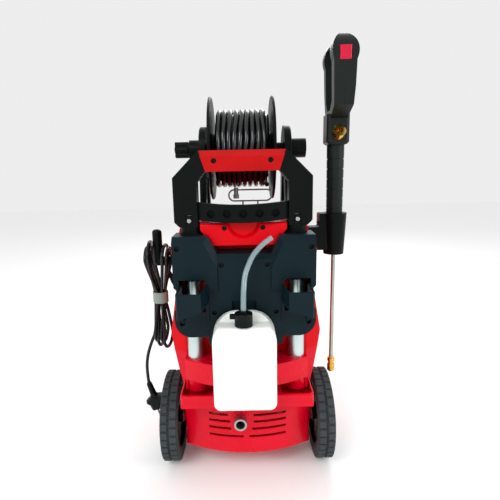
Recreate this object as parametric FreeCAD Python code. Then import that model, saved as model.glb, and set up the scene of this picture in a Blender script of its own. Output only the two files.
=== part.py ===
import FreeCAD, Part
import math
import os

# Upright electric pressure washer with a hose reel, in millimetres.
# X points right as seen from behind, Y to the front and Z up. Everything is drawn with Y = 0 on
# the wheel axle, and write() moves it so that the origin lies on the floor under the front foot.

# --- Clearances and walls -------------------------------------------------------------------
WALL = 3.0                  # moulded casing wall
FIT = 0.05                  # radial clearance of a shaft in its bore
GAP = 0.4                   # air between pieces that move past each other

# --- Wheels and stance ----------------------------------------------------------------------
WHEEL_R = 90.0
TYRE_WIDTH = 34.4
TYRE_DEPTH = 22.0           # rubber outside the rim
WHEEL_GAP = 11.6            # casing side to the wheel's inner face
AXLE_R = 6.0
AXLE_BOSS_R = 15.0
HUB_R = 17.0
CLIP_R = 9.0
CLIP_WIDTH = 0.8             # stands out of the hub
WHEELBASE = 175.0           # axle to front foot
FOOT_WIDTH = 140.0
FOOT_DEPTH = 34.0

# --- Casing ---------------------------------------------------------------------------------
BASE_Z = 48.0               # underside above the floor
DECK_Z = 165.0              # top of the rounded rear hull
LEDGE_Z = 250.0             # seam between the base and the front shell
BODY_TOP = 505.0
BODY_HALF = 125.0           # half width between the wheels
BULGE = 22.0                # how far the flank swells over the wheels
BULGE_Z = 285.0
WAIST = 3.0
WAIST_Z = BODY_TOP - 110.0
SHOULDER = 14.0
SHOULDER_Z = BODY_TOP - 55.0
NECK = -4.0
NECK_Z = BODY_TOP - 23.0
BODY_BACK = -42.0
BODY_FRONT = 215.0
HULL_BACK = -80.0           # rear hull at its middle
HULL_SIDE = -47.0           # rear hull at its sides
HULL_FILLET = 10.0

# --- Frame tubes and collars ----------------------------------------------------------------
TUBE_X = BODY_HALF - 30.0
TUBE_Y = -61.0
TUBE_R = 15.0
TUBE_WALL = 1.5
INNER_R = 12.5
INNER_WALL = 1.5
SOCKET_WALL = 3.0
SOCKET_Z = 186.0            # underside of the tube sockets
TUBE_TOP = BODY_TOP - 5.0
COLLAR_R = 17.0
COLLAR_TOP = BODY_TOP + 15.0
COLLAR_FLANGE = 4.0
BUTTON_R = 3.8
BUTTON_Z = BODY_TOP + 6.0

# --- Rear tray ------------------------------------------------------------------------------
TRAY_HALF = BODY_HALF - 1.0
TRAY_BACK = -106.0
TRAY_RIM_Z = 191.0
RIM_BAND = 12.0
TRAY_FLOOR = 5.0
TRAY_INNER = 62.0           # inner side of each tray
BLOCK_Z = 209.0             # underside of the block above the trays
BLOCK_HALF = BODY_HALF - 9.0
BLOCK_WALL = 5.0            # overlaps the tube sockets
BLOCK_SIDE = -72.0
BLOCK_BACK = -110.0

# --- Bottle ---------------------------------------------------------------------------------
BOTTLE_WIDTH = 107.0
BOTTLE_X = -2.6
BOTTLE_DEPTH = 64.0
BOTTLE_HEIGHT = 162.0
BOTTLE_Z = 195.0
BOTTLE_BACK = -101.0
BOTTLE_WALL = 1.6
CAP_R = 15.0
CAP_HEIGHT = 26.0
NECK_R = 11.0
CAP_X = -3.0
CAP_Y = -149.0
SUCTION_R = 4.5

# --- Rear panel -----------------------------------------------------------------------------
PANEL_TOP = BODY_TOP - 19.0
PANEL_HALF = BODY_HALF - 1.0
PANEL_MID_TOP = PANEL_TOP - 32.0
PANEL_MID_HALF = 66.0
PANEL_LOW = 303.0
PANEL_LEG_LOW = 290.0
LOBE_LOW = 398.0
FACE_MID = -100.0
FACE_UPPER = -105.0
FACE_LOWER = -97.0
BEVEL = 10.0
POCKET_BACK = -160.0
POCKET_RIM = 402.0
POCKET_WALL = 3.5
POCKET_OUTER = BODY_HALF - 12.5
POCKET_FRONT_INNER = 71.0
POCKET_ROOT_INNER = 64.0
WINDOW_LOW = 350.0
WINDOW_TOP = 411.0
SCREW_HEAD_R = 4.2
SCREW_R = 2.0

# --- Handle ---------------------------------------------------------------------------------
LEG_IN = BODY_HALF - 45.0
LEG_OUT = BODY_HALF - 4.0
LEG_BACK = -78.0
LEG_FRONT = -42.6
HANDLE_TOP = COLLAR_TOP + 111.0
GRIP_HEIGHT = 36.0
GRIP_HALF = 75.5
GRIP_WALL = 3.0
CROSSBAR_SAG = 5.0
CROSSBAR_BULGE = 16.0
HOLDER_R = 6.7
HOLDER_PITCH = 28.0
HOLDER_DEPTH = 9.0
HANDLE_TRAVEL = 250.0

# --- Hose reel ------------------------------------------------------------------------------
REEL_Y = 75.0
REEL_Z = BODY_TOP + 135.0
FLANGE_R = 102.0
FLANGE_X = 58.5             # inner face of each flange
FLANGE_WIDTH = 5.0
DRUM_R = 32.0
COIL_R = 78.0
STUB_R = 12.0
SUPPORT_HEAD_R = 45.0
REEL_HUB_R = 19.5
LEFT_SUPPORT_X = (-85.0, -72.0)
RIGHT_SUPPORT_X = (84.0, 98.0)
LEFT_HUB_X = -107.0
RIGHT_HUB_X = 121.6
CRANK_X = (122.0, 130.0)
CRANK_LENGTH = 62.0
KNOB_R = 17.5
GUIDE_R = 2.0

# --- Gun, lance and holster -----------------------------------------------------------------
GUN_X = BODY_HALF + 51.0
GUN_TOP = 825.0
GUN_BODY_Z = 640.0          # lower end of the gun's body
SLEEVE_R = 16.2
SLEEVE_END_R = 15.0
SLEEVE_END = 455.0
LANCE_R = 4.0
COUPLER_TOP = 2 * WHEEL_R + 33.0
COUPLER_END = 2 * WHEEL_R + 3.0    # clears the wheel
COUPLER_R = 7.5
COUPLER_BORE = 4.0
HOLSTER_TOP = 513.0
HOLSTER_LOW = 433.0
HOLSTER_R = 23.8
HOLSTER_END_R = 19.5
HOLSTER_BORE = 16.9

# --- Cord -----------------------------------------------------------------------------------
CORD_R = 3.3
HOOK_X = -(BODY_HALF + 44.5)
HOOK_R = 9.2
HOOK_TOP = 487.0
HOOK_ARM_Z = 424.0
TIE_Z = (340.0, 362.0)
LEAD_POINTS = [(HOOK_X + 23.5, 25, 376), (HOOK_X + 13.5, 27, 395), (HOOK_X + 8.5, 26, 419),
               (HOOK_X + 6.5, 15.5, 441)]
TAIL_POINTS = [(HOOK_X - 14.5, 0, 276), (HOOK_X - 26.5, 1, 250), (HOOK_X - 36.5, 3, 220),
               (HOOK_X - 39.5, 3, 190), (HOOK_X - 36.5, 0, 163)]
PLUG_LEAN = (0.30, 0.0, -0.954)

# --- Motor, pump and switch -----------------------------------------------------------------
INLET_X = -13.4
INLET_Z = 127.0
INLET_R = 12.0
INLET_BORE = 8.5
INLET_END = -100.0
PUMP_BACK = 25.0
MOTOR_R = 60.0
MOTOR_Y = 80.0
SWITCH_Z = 300.0
SWITCH_R = 24.0
SWITCH_SHAFT_R = 5.0

TUBE_SIDES = (-1, 1)


def vec(x, y, z):
    return FreeCAD.Vector(x, y, z)


def box(x, y, z):
    """Box from three (low, high) pairs."""
    return Part.makeBox(x[1] - x[0], y[1] - y[0], z[1] - z[0], vec(x[0], y[0], z[0]))


def rod(axis, middle, radius, start, end):
    """Cylinder along an axis; middle is where it crosses the other two axes."""
    return Part.makeCylinder(radius, end - start, place(axis, *middle, start), place(axis, 0, 0, 1))


def ring(axis, middle, outer, inner, start, end):
    return rod(axis, middle, outer, start, end).cut(rod(axis, middle, inner, start, end))


def place(axis, across, up, along):
    """Point from its place along an axis and its two coordinates in the plane across it."""
    return {"x": vec(along, across, up), "y": vec(across, along, up), "z": vec(across, up, along)}[axis]


def prism(axis, start, end, steps):
    """Solid between two places on an axis. A step is a point, or a pair: an arc's middle and end."""
    edges = []
    here = steps[0]
    for step in list(steps[1:]) + [steps[0]]:
        arc = isinstance(step[0], tuple)
        target = step[1] if arc else step
        if math.dist(here, target) < 1e-6:
            continue
        points = [place(axis, *point, start)
                  for point in ((here, step[0], target) if arc else (here, target))]
        edges.append(Part.Arc(*points).toShape() if arc else Part.LineSegment(*points).toShape())
        here = target
    return Part.Face(Part.Wire(edges)).extrude(place(axis, 0, 0, end - start))


def both_sides(half):
    """Closed outline from the points of its right half, from top to bottom."""
    return half + [(-x, z) for x, z in reversed(half) if x]


def fused(solids):
    solids = list(solids)
    return solids[0].multiFuse(solids[1:]).removeSplitter() if len(solids) > 1 else solids[0]


def mirrored(shape):
    return shape.mirror(vec(0, 0, 0), vec(1, 0, 0))


def sided(shape, side):
    """The shape drawn on the right, or its mirror on the left."""
    return shape if side > 0 else mirrored(shape)


def rounded(shape, radius, chosen):
    return shape.makeFillet(radius, [edge for edge in shape.Edges if chosen(edge)])


def bevelled(shape, size, chosen):
    return shape.makeChamfer(size, [edge for edge in shape.Edges if chosen(edge)])


def runs_along(edge, axis):
    """True for a straight edge parallel to an axis."""
    if edge.Curve.TypeId != "Part::GeomLine":
        return False
    return abs(getattr(edge.tangentAt(edge.FirstParameter), axis)) > 0.999


def lies_at(edge, axis, value):
    """True when the whole edge has one coordinate equal to value."""
    low, high = getattr(edge.BoundBox, axis + "Min"), getattr(edge.BoundBox, axis + "Max")
    return abs(low - value) < 0.01 and abs(high - value) < 0.01


def revolved(axis, middle, outline):
    """Solid turned about an axis through middle, from (radius, place along the axis) points."""
    points = [place(axis, middle[0] + radius, middle[1], along) for radius, along in outline]
    face = Part.Face(Part.makePolygon(points + points[:1]))
    return face.revolve(place(axis, *middle, 0), place(axis, 0, 0, 1), 360)


# --- Casing ---------------------------------------------------------------------------------
def casing(inset):
    """Main casing without its rear hull: flanks, front, back and plan shape, drawn in by inset."""
    half = BODY_HALF - inset
    levels = [(half + NECK - 7, BODY_TOP - inset), (half + NECK, NECK_Z), (half + SHOULDER, SHOULDER_Z),
              (half + WAIST, WAIST_Z), (half + BULGE, BULGE_Z), (half + 16, BULGE_Z - 37),
              (half + 8, BULGE_Z - 77), (half, BULGE_Z - 107), (half, BASE_Z + 18 + inset),
              (half - 13, BASE_Z + inset)]
    flanks = prism("y", BODY_BACK - 1, BODY_FRONT + 1, both_sides(levels))
    flanks = rounded(flanks, 14,
                     lambda edge: runs_along(edge, "y") and BASE_Z + 20 < edge.BoundBox.ZMax < NECK_Z + 5)
    back, front = BODY_BACK + inset, BODY_FRONT - inset
    side = prism("x", -BODY_HALF - 60, BODY_HALF + 60, [
        (back, BASE_Z + inset), (back, BODY_TOP - inset), (front - 50, BODY_TOP - inset),
        (front - 12, BODY_TOP - 70), (front, BODY_TOP - 180), (front, BASE_Z + inset)])
    side = rounded(side, 20, lambda edge: runs_along(edge, "x") and edge.BoundBox.YMin > front - 60)
    corner = half - 7
    wide = BODY_HALF + BULGE + 4
    plan = prism("z", BASE_Z, BODY_TOP, [
        (corner, back), (wide, back + 16), (wide, front - 55), ((0, front), (-wide, front - 55)),
        (-wide, back + 16), (-corner, back)])
    return flanks.common(side).common(plan)


def rear_hull(inset):
    """Bowed hull below the tray, between the wheels."""
    half = BODY_HALF - inset
    hull = prism("z", BASE_Z + inset, DECK_Z - inset, [
        (-half, HULL_SIDE + inset), ((0, HULL_BACK + inset), (half, HULL_SIDE + inset)), (half, 20),
        (-half, 20)])
    return rounded(hull, HULL_FILLET, lambda edge: edge.BoundBox.YMax < 0 and (
        runs_along(edge, "z") or lies_at(edge, "Z", BASE_Z + inset)))


def layer(low, high):
    """Everything between two levels, as a block to intersect with."""
    return box((-400, 400), (-300, 400), (low, high))


def wheel_span():
    """Inner and outer faces of a wheel."""
    inner = BODY_HALF + WHEEL_GAP
    return inner, inner + TYRE_WIDTH


def vent_slots():
    """Four rows of slots in the rear hull, stopped by the boss round the water inlet."""
    rows = [(134.0, 38.0, 12.0), (120.0, 34.0, 12.0), (105.0, 32.0, 9.0), (89.0, 8.0, 3.0)]
    slots = []
    for z, left, right in rows:
        slots.append(box((-75, -left), (HULL_BACK - 10, HULL_BACK + 30), (z - 2.5, z + 2.5)))
        slots.append(box((right, 75), (HULL_BACK - 10, HULL_BACK + 30), (z - 2.5, z + 2.5)))
    return slots


def front_slots():
    """Cooling slots low in the front of the base."""
    slot = box((-70, 70), (BODY_FRONT - 30, BODY_FRONT + 5), (-2.5, 2.5))
    return [slot.translated(vec(0, 0, BASE_Z + 47 + 14 * row)) for row in range(6)]


def base_shell():
    outer = casing(0).common(layer(BASE_Z, LEDGE_Z)).fuse(rear_hull(0))
    inner = casing(WALL).common(layer(BASE_Z + WALL, LEDGE_Z)).fuse(rear_hull(WALL))
    shell = outer.removeSplitter()
    inner_face, _ = wheel_span()
    bosses = [rod("x", (0, WHEEL_R), AXLE_BOSS_R, *sorted((side * (BODY_HALF - 14), side * (inner_face - 2))))
              for side in TUBE_SIDES]
    inlet_boss = rod("y", (INLET_X, INLET_Z), INLET_R + 5, HULL_BACK - 1.5, HULL_BACK + 12)
    shell = shell.cut(inner).multiFuse(bosses + [inlet_boss])
    holes = [rod("x", (0, WHEEL_R), AXLE_R, -300, 300),
             rod("y", (INLET_X, INLET_Z), INLET_R - 0.5, HULL_BACK - 10, HULL_BACK + 30)]
    return shell.cut(fused(holes)).cut(Part.makeCompound(vent_slots() + front_slots()))


def front_shell():
    shell = casing(0).common(layer(LEDGE_Z, BODY_TOP)).cut(casing(WALL).common(layer(LEDGE_Z, BODY_TOP)))
    shaft = rod("y", (0, SWITCH_Z), SWITCH_SHAFT_R + FIT, BODY_FRONT - 30, BODY_FRONT + 10)
    gland = gland_rod(CORD_R + 3, -20, 20)
    slot = box((-60, 60), (BODY_FRONT - 60, BODY_FRONT + 5), (-2, 2))
    vents = [slot.translated(vec(0, 0, SWITCH_Z + 70 + 13 * row)) for row in range(5)]
    return shell.cut(shaft).cut(gland).cut(Part.makeCompound(vents))


COVER_TOP = BODY_TOP + 1
COVER_FACE = BODY_BACK - 33


def cover_block(widen):
    """Outline of the cover between the collars: it narrows downwards."""
    half_top, half_low, low = TUBE_X - COLLAR_R - 1.5, TUBE_X - 43, PANEL_MID_TOP + 12
    return prism("y", COVER_FACE - widen, BODY_BACK, both_sides([
        (half_top + widen, COVER_TOP), (half_top + widen, COVER_TOP - 12), (half_low + widen, low - widen)]))


def rear_cover():
    """Red cover between the collars, with a finger scoop in its face."""
    half_top, half_low, low = TUBE_X - COLLAR_R - 1.5, TUBE_X - 43, PANEL_MID_TOP + 12
    top, face = COVER_TOP, COVER_FACE
    cover = cover_block(0)
    cover = rounded(cover, 6, lambda edge: lies_at(edge, "Y", face) and edge.BoundBox.ZMin > top - 1)
    hollow = prism("y", face + 12, BODY_BACK, both_sides([
        (half_top - WALL, top - WALL), (half_top - WALL, top - 12), (half_low - WALL, low + WALL)]))
    scoop = revolved("y", (0, top + 2), [(0, face - 1), (31, face - 1), (25, face + 8), (0, face + 8)])
    cover = cover.cut(hollow).cut(scoop)
    return cover.cut(fused(screw_room(x, z, face, 4) for x, z in cover_screws()))


# --- Screws ---------------------------------------------------------------------------------
def panel_screws():
    """(x, z, face) of the rear panel's screws on the right side."""
    return [(TUBE_X + 20, PANEL_TOP - 19.5, FACE_UPPER),
            (PANEL_MID_HALF - 26, PANEL_MID_TOP - 18, FACE_MID),
            (54.5, 350, FACE_MID), (TUBE_X + 18, PANEL_LOW + 26, FACE_LOWER)]


def cover_screws():
    return [(side * 34, BODY_TOP - 8) for side in TUBE_SIDES]


def screw_room(x, z, face, depth):
    """Counterbore and thread hole of a screw driven in along +Y."""
    return rod("y", (x, z), SCREW_HEAD_R + 0.4, face - 1, face + depth + 2.6).fuse(
        rod("y", (x, z), SCREW_R, face + depth, face + depth + 8))


def screw(x, z, face, depth):
    head = rod("y", (x, z), SCREW_HEAD_R, face + depth, face + depth + 2.6)
    slot = box((x - 3, x + 3), (face + depth - 1, face + depth + 1), (z - 0.6, z + 0.6))
    shank = rod("y", (x, z), SCREW_R, face + depth + 2.6, face + depth + 8)
    return head.cut(slot).fuse(shank)


def housing_screws():
    screws = [screw(side * x, z, face, 6) for x, z, face in panel_screws() for side in TUBE_SIDES]
    return Part.makeCompound(screws + [screw(x, z, COVER_FACE, 4) for x, z in cover_screws()])


# --- Rear tray ------------------------------------------------------------------------------
def rear_tray():
    """Moulding behind the casing: two accessory trays, the bottle's shelf and the tube sockets."""
    floor = box((-TRAY_HALF, TRAY_HALF), (TRAY_BACK, BODY_BACK), (DECK_Z, TRAY_RIM_Z))
    floor = rounded(floor, 9, lambda edge: runs_along(edge, "z") and edge.BoundBox.YMax < BODY_BACK - 1)
    floor = rounded(floor, 3, lambda edge: lies_at(edge, "Z",
                                                   TRAY_RIM_Z) and edge.BoundBox.YMin < BODY_BACK - 1)
    under = box((-TRAY_HALF - 1, TRAY_HALF + 1), (TRAY_BACK - 1, TRAY_BACK + WALL),
                (DECK_Z - 1, TRAY_RIM_Z - RIM_BAND))
    pockets = []
    for side in TUBE_SIDES:
        pocket = box((TRAY_INNER + WALL, TRAY_HALF - WALL), (TRAY_BACK + 2 * WALL, BODY_BACK - WALL),
                     (DECK_Z + TRAY_FLOOR, TRAY_RIM_Z + 1))
        pocket = rounded(pocket, 6,
                         lambda edge: runs_along(edge, "z") and edge.BoundBox.YMax < TRAY_BACK + 10)
        pockets.append(sided(pocket, side))
    trays = floor.cut(under).cut(fused(pockets))
    shelf = box((BOTTLE_X - BOTTLE_WIDTH / 2 + 4, BOTTLE_X + BOTTLE_WIDTH / 2 - 4),
                (BOTTLE_BACK - 36, BODY_BACK),
                (BOTTLE_Z - 14, BOTTLE_Z))
    back = box((-BLOCK_HALF, BLOCK_HALF), (BODY_BACK - WALL, BODY_BACK), (DECK_Z, LEDGE_Z))
    cheeks = [sided(box((BLOCK_HALF - BLOCK_WALL, BLOCK_HALF), (BLOCK_SIDE, BODY_BACK),
                        (TRAY_RIM_Z - 4, BLOCK_Z)), side)
              for side in TUBE_SIDES]
    block = prism("z", BLOCK_Z, LEDGE_Z, [
        (-BLOCK_HALF, BODY_BACK), (-BLOCK_HALF, BLOCK_SIDE), ((0, BLOCK_BACK), (BLOCK_HALF, BLOCK_SIDE)),
        (BLOCK_HALF, BODY_BACK)])
    block = rounded(block, 2.5, lambda edge: lies_at(edge, "Z",
                                                     LEDGE_Z) and edge.BoundBox.YMin < BODY_BACK - 1)
    hollow = prism("z", BLOCK_Z + WALL, LEDGE_Z - WALL, [
        (-BLOCK_HALF + BLOCK_WALL, BODY_BACK - WALL), (-BLOCK_HALF + BLOCK_WALL, BLOCK_SIDE + WALL),
        ((0, BLOCK_BACK + 14), (BLOCK_HALF - BLOCK_WALL, BLOCK_SIDE + WALL)),
        (BLOCK_HALF - BLOCK_WALL, BODY_BACK - WALL)])
    bottle_room = box((BOTTLE_X - BOTTLE_WIDTH / 2 - 2, BOTTLE_X + BOTTLE_WIDTH / 2 + 2),
                      (BLOCK_BACK - 5, BOTTLE_BACK + 1),
                      (BOTTLE_Z, LEDGE_Z + 5))
    sockets = [rod("z", (side * TUBE_X, TUBE_Y), TUBE_R + SOCKET_WALL, SOCKET_Z, LEDGE_Z)
               for side in TUBE_SIDES]
    bores = [rod("z", (side * TUBE_X, TUBE_Y), TUBE_R, SOCKET_Z + SOCKET_WALL, LEDGE_Z + 1)
             for side in TUBE_SIDES]
    whole = fused([trays, shelf, back, block.cut(hollow)] + cheeks + sockets)
    return whole.cut(fused(bores)).cut(bottle_room)


# --- Rear panel -----------------------------------------------------------------------------
def panel_lobe(inset):
    """Upper right lobe of the panel, round the frame tube."""
    inner = PANEL_MID_HALF - 19
    outline = [(inner + inset, LOBE_LOW - 6 + inset), (inner + inset, PANEL_MID_TOP),
               (inner + 12 + inset, PANEL_TOP - 7),
               (inner + 17 + inset, PANEL_TOP - inset), (PANEL_HALF - inset, PANEL_TOP - inset),
               (PANEL_HALF - inset, LOBE_LOW + inset), (PANEL_HALF - 6, LOBE_LOW - 6 + inset)]
    lobe = prism("y", FACE_UPPER + inset, BODY_BACK, outline)
    return bevelled(lobe, BEVEL, lambda edge: lies_at(edge, "Y", FACE_UPPER + inset)
                    and edge.BoundBox.ZMax > PANEL_MID_TOP + 1 and edge.BoundBox.XMin < PANEL_HALF - inset - 1)


def panel_middle(inset):
    half = PANEL_MID_HALF - 4 if inset else PANEL_MID_HALF
    middle = prism("y", FACE_MID + inset, BODY_BACK, [
        (-half, PANEL_MID_TOP - inset), (half, PANEL_MID_TOP - inset),
        (half, PANEL_LEG_LOW + inset), (-half, PANEL_LEG_LOW + inset)])
    return bevelled(middle, BEVEL - 1, lambda edge: lies_at(edge, "Y", FACE_MID + inset)
                    and lies_at(edge, "Z", PANEL_MID_TOP - inset))


def panel_wing(inset):
    """Lower right wing, with its large outer corner."""
    corner = 30.0
    out, low = PANEL_HALF + 2 - inset, PANEL_LOW + inset
    slant = corner * (1 - math.sqrt(0.5))
    return prism("y", FACE_LOWER + inset, BODY_BACK, [
        (PANEL_MID_HALF - 10, LOBE_LOW), (PANEL_HALF - 8, LOBE_LOW), (PANEL_HALF - 8 - inset, 370),
        (out, 352),
        (out, low + corner), ((out - slant, low + slant), (out - corner, low)), (PANEL_MID_HALF - 10, low)])


def pocket_loop():
    """Loop on the right that holds a lance or a nozzle: open above and below."""
    outer = prism("z", WINDOW_LOW - 16, POCKET_RIM, [
        (POCKET_ROOT_INNER, FACE_LOWER), (POCKET_ROOT_INNER, -122), (POCKET_FRONT_INNER, POCKET_BACK),
        (POCKET_OUTER - 3, POCKET_BACK), (POCKET_OUTER, POCKET_BACK + 3), (POCKET_OUTER, FACE_LOWER)])
    wall = POCKET_WALL
    inner = prism("z", WINDOW_LOW - 20, POCKET_RIM + 5, [
        (POCKET_ROOT_INNER + wall, FACE_LOWER + 1), (POCKET_ROOT_INNER + wall, -122),
        (POCKET_FRONT_INNER + wall, POCKET_BACK + wall), (POCKET_OUTER - wall, POCKET_BACK + wall),
        (POCKET_OUTER - wall, FACE_LOWER + 1)])
    slant = prism("y", POCKET_BACK - 5, FACE_LOWER - 8, [
        (POCKET_ROOT_INNER - 8, WINDOW_LOW - 30), (POCKET_ROOT_INNER - 8, 376), (POCKET_OUTER + 5, 356),
        (POCKET_OUTER + 5, WINDOW_LOW - 30)])
    return outer.cut(inner).cut(slant), inner


def rear_panel():
    outer = [panel_middle(0)]
    inner = [panel_middle(WALL)]
    loops, cuts, bosses, rooms = [], [], [], []
    for side in TUBE_SIDES:
        outer += [sided(panel_lobe(0), side), sided(panel_wing(0), side)]
        inner += [sided(panel_lobe(WALL), side), sided(panel_wing(WALL), side)]
        loop, room = pocket_loop()
        loops.append(sided(loop, side))
        window = box((POCKET_ROOT_INNER + 6, PANEL_HALF - 9), (FACE_UPPER - 1, -88), (WINDOW_LOW, WINDOW_TOP))
        cuts.append(sided(window, side))
        cuts.append(sided(room.common(box((0, 200), (POCKET_BACK, FACE_LOWER - 0.01), (0, POCKET_RIM + 5))),
                          side))
        guide = rod("z", (side * TUBE_X, TUBE_Y), TUBE_R + WALL + 1, LOBE_LOW + 4, PANEL_TOP - 1)
        bosses.append(guide)
        cuts.append(rod("z", (side * TUBE_X, TUBE_Y), TUBE_R, PANEL_LOW - 20, PANEL_TOP + 5))
        for x, z, face in panel_screws():
            bosses.append(rod("y", (side * x, z), 7.0, face + 1, face + 24))
            rooms.append(screw_room(side * x, z, face, 6))
    recess_wall = box((-25, 22), (FACE_MID, FACE_MID + 12), (347, 373))
    recess = box((-23, 20), (FACE_MID - 1, FACE_MID + 9), (349, 371))
    shell = fused(outer).cut(fused(inner))
    casing_room = box((-200, 200), (BODY_BACK, 0), (200, 600))
    shell = fused([shell] + loops + bosses + [recess_wall]).cut(Part.makeCompound(rooms)).cut(recess)
    return shell.cut(fused(cuts)).cut(casing_room).cut(cover_block(GAP))


# --- Frame tubes ----------------------------------------------------------------------------
def outer_tube(side):
    return ring("z", (side * TUBE_X, TUBE_Y), TUBE_R, TUBE_R - TUBE_WALL, SOCKET_Z + SOCKET_WALL, TUBE_TOP)


def collar(side):
    """Sleeve on top of a frame tube that guides the inner tube and holds the detent button."""
    at = (side * TUBE_X, TUBE_Y)
    body = rod("z", at, COLLAR_R, PANEL_TOP, COLLAR_TOP).fuse(
        rod("z", at, COLLAR_R + 1.8, PANEL_TOP, PANEL_TOP + COLLAR_FLANGE))
    body = body.cut(rod("z", at, TUBE_R, PANEL_TOP - 1, TUBE_TOP))
    body = body.cut(rod("z", at, INNER_R + FIT, TUBE_TOP - 1, COLLAR_TOP + 1))
    return body.cut(rod("y", (side * TUBE_X, BUTTON_Z), BUTTON_R + FIT, TUBE_Y - COLLAR_R - 2, TUBE_Y))


def detent_button(side):
    outer = TUBE_Y - COLLAR_R - 1.2
    button = rod("y", (side * TUBE_X, BUTTON_Z), BUTTON_R, outer, outer + 2.3)
    return rounded(button, 0.9, lambda edge: lies_at(edge, "Y", outer))


def inner_tube(side):
    at = (side * TUBE_X, TUBE_Y)
    return ring("z", at, INNER_R, INNER_R - INNER_WALL, COLLAR_TOP - HANDLE_TRAVEL - 50, COLLAR_TOP + 66)


# --- Handle ---------------------------------------------------------------------------------
def grip_slant(z):
    """Half width of the grip cover at a level: it narrows downwards."""
    return GRIP_HALF - (HANDLE_TOP - z) / GRIP_HEIGHT * 12


def handle_frame():
    low = COLLAR_TOP - 20
    chamfer = LEG_OUT - GRIP_HALF
    bar_low = HANDLE_TOP - GRIP_HEIGHT
    outer = prism("y", LEG_BACK, LEG_FRONT, both_sides([
        (GRIP_HALF, HANDLE_TOP), (LEG_OUT, HANDLE_TOP - chamfer), (LEG_OUT, low + 9), (LEG_OUT - 9, low),
        (LEG_IN, low)]))
    outer = rounded(outer, 3, lambda edge: runs_along(edge,
                                                      "y") and edge.BoundBox.XMax ** 2 > (LEG_IN + 5) ** 2)
    bar_top, bar_foot = COLLAR_TOP + 23, COLLAR_TOP - 8
    window = prism("y", LEG_BACK - 1, LEG_FRONT + 1, both_sides([
        (LEG_IN - 15, bar_low), (LEG_IN, bar_low - 18), (LEG_IN, low - 1)]))
    grip_room = prism("y", LEG_BACK - 1, LEG_FRONT + 1, both_sides([
        (grip_slant(HANDLE_TOP), HANDLE_TOP + 1), (grip_slant(bar_low), bar_low - 1)]))
    band = prism("y", LEG_BACK - 40, LEG_FRONT, [
        (-LEG_IN, bar_foot), ((0, bar_foot - CROSSBAR_SAG), (LEG_IN, bar_foot)), (LEG_IN, bar_top),
        ((0, bar_top - CROSSBAR_SAG), (-LEG_IN, bar_top))])
    back = LEG_BACK + 5
    plan = prism("z", low - 20, bar_top + 20, [
        (-LEG_IN, back), ((0, back - CROSSBAR_BULGE), (LEG_IN, back)), (LEG_IN, back + 14),
        ((0, back - CROSSBAR_BULGE + 14), (-LEG_IN, back + 14))])
    crossbar = band.common(plan)
    holders = [rod("y", (index * HOLDER_PITCH, COLLAR_TOP + 3), HOLDER_R, back - 40, holder_floor(index))
               for index in range(-2, 3)]
    core = grip_core(0)
    frame = outer.cut(window).cut(grip_room).multiFuse([crossbar.cut(fused(holders)), core]).removeSplitter()
    rooms = []
    for side in TUBE_SIDES:
        at = (side * TUBE_X, TUBE_Y)
        rooms.append(rod("z", at, COLLAR_R + GAP, low - 1, COLLAR_TOP + 1))
        rooms.append(rod("z", at, INNER_R, COLLAR_TOP, COLLAR_TOP + 66))
        rooms.append(box(sorted_pair(side * (TUBE_X - BUTTON_R - 2), side * (TUBE_X + BUTTON_R + 2)),
                         (LEG_BACK - 5, TUBE_Y), (low - 1, COLLAR_TOP + 1)))
        rooms.append(grip_screw_room(side))
    return frame.cut(fused(rooms))


def sorted_pair(first, second):
    return min(first, second), max(first, second)


def holder_floor(index):
    """Floor of a nozzle holder: each one is equally deep in the bowed bar."""
    reach = index * HOLDER_PITCH / LEG_IN
    return LEG_BACK + 5 - CROSSBAR_BULGE * (1 - reach * reach) + HOLDER_DEPTH


def grip_section(inset, low):
    """Cross section of the grip, as (y, z) points."""
    back, front, top = LEG_BACK - 2 + inset, LEG_FRONT + 2 - inset, HANDLE_TOP - inset
    return [(back, low), (back, top - 11), (back + 11, top), (front - 11, top), (front, top - 11),
            (front, low)]


def grip_core(widen):
    low = HANDLE_TOP - GRIP_HEIGHT
    core = prism("x", -GRIP_HALF - 5, GRIP_HALF + 5, grip_section(GRIP_WALL, low + 2))
    bound = prism("y", LEG_BACK - 5, LEG_FRONT + 5, both_sides([
        (grip_slant(HANDLE_TOP) + 2 + widen, HANDLE_TOP), (grip_slant(low) + 2 + widen, low)]))
    return core.common(bound)


def grip_cover():
    low = HANDLE_TOP - GRIP_HEIGHT
    bound = prism("y", LEG_BACK - 5, LEG_FRONT + 5, both_sides([
        (grip_slant(HANDLE_TOP), HANDLE_TOP + 1), (grip_slant(low), low)]))
    outer = prism("x", -GRIP_HALF - 5, GRIP_HALF + 5, grip_section(0, low)).common(bound)
    core = prism("x", -GRIP_HALF - 5, GRIP_HALF + 5, grip_section(GRIP_WALL, low - 5))
    return outer.cut(core).cut(fused(grip_screw_room(side) for side in TUBE_SIDES))


def grip_screw_room(side):
    return screw_room(side * 48.5, HANDLE_TOP - 18, LEG_BACK - 2, 4)


def grip_screws():
    return Part.makeCompound([screw(side * 48.5, HANDLE_TOP - 18, LEG_BACK - 2, 4) for side in TUBE_SIDES])


# --- Hose reel ------------------------------------------------------------------------------
REEL_AT = (REEL_Y, REEL_Z)


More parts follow.
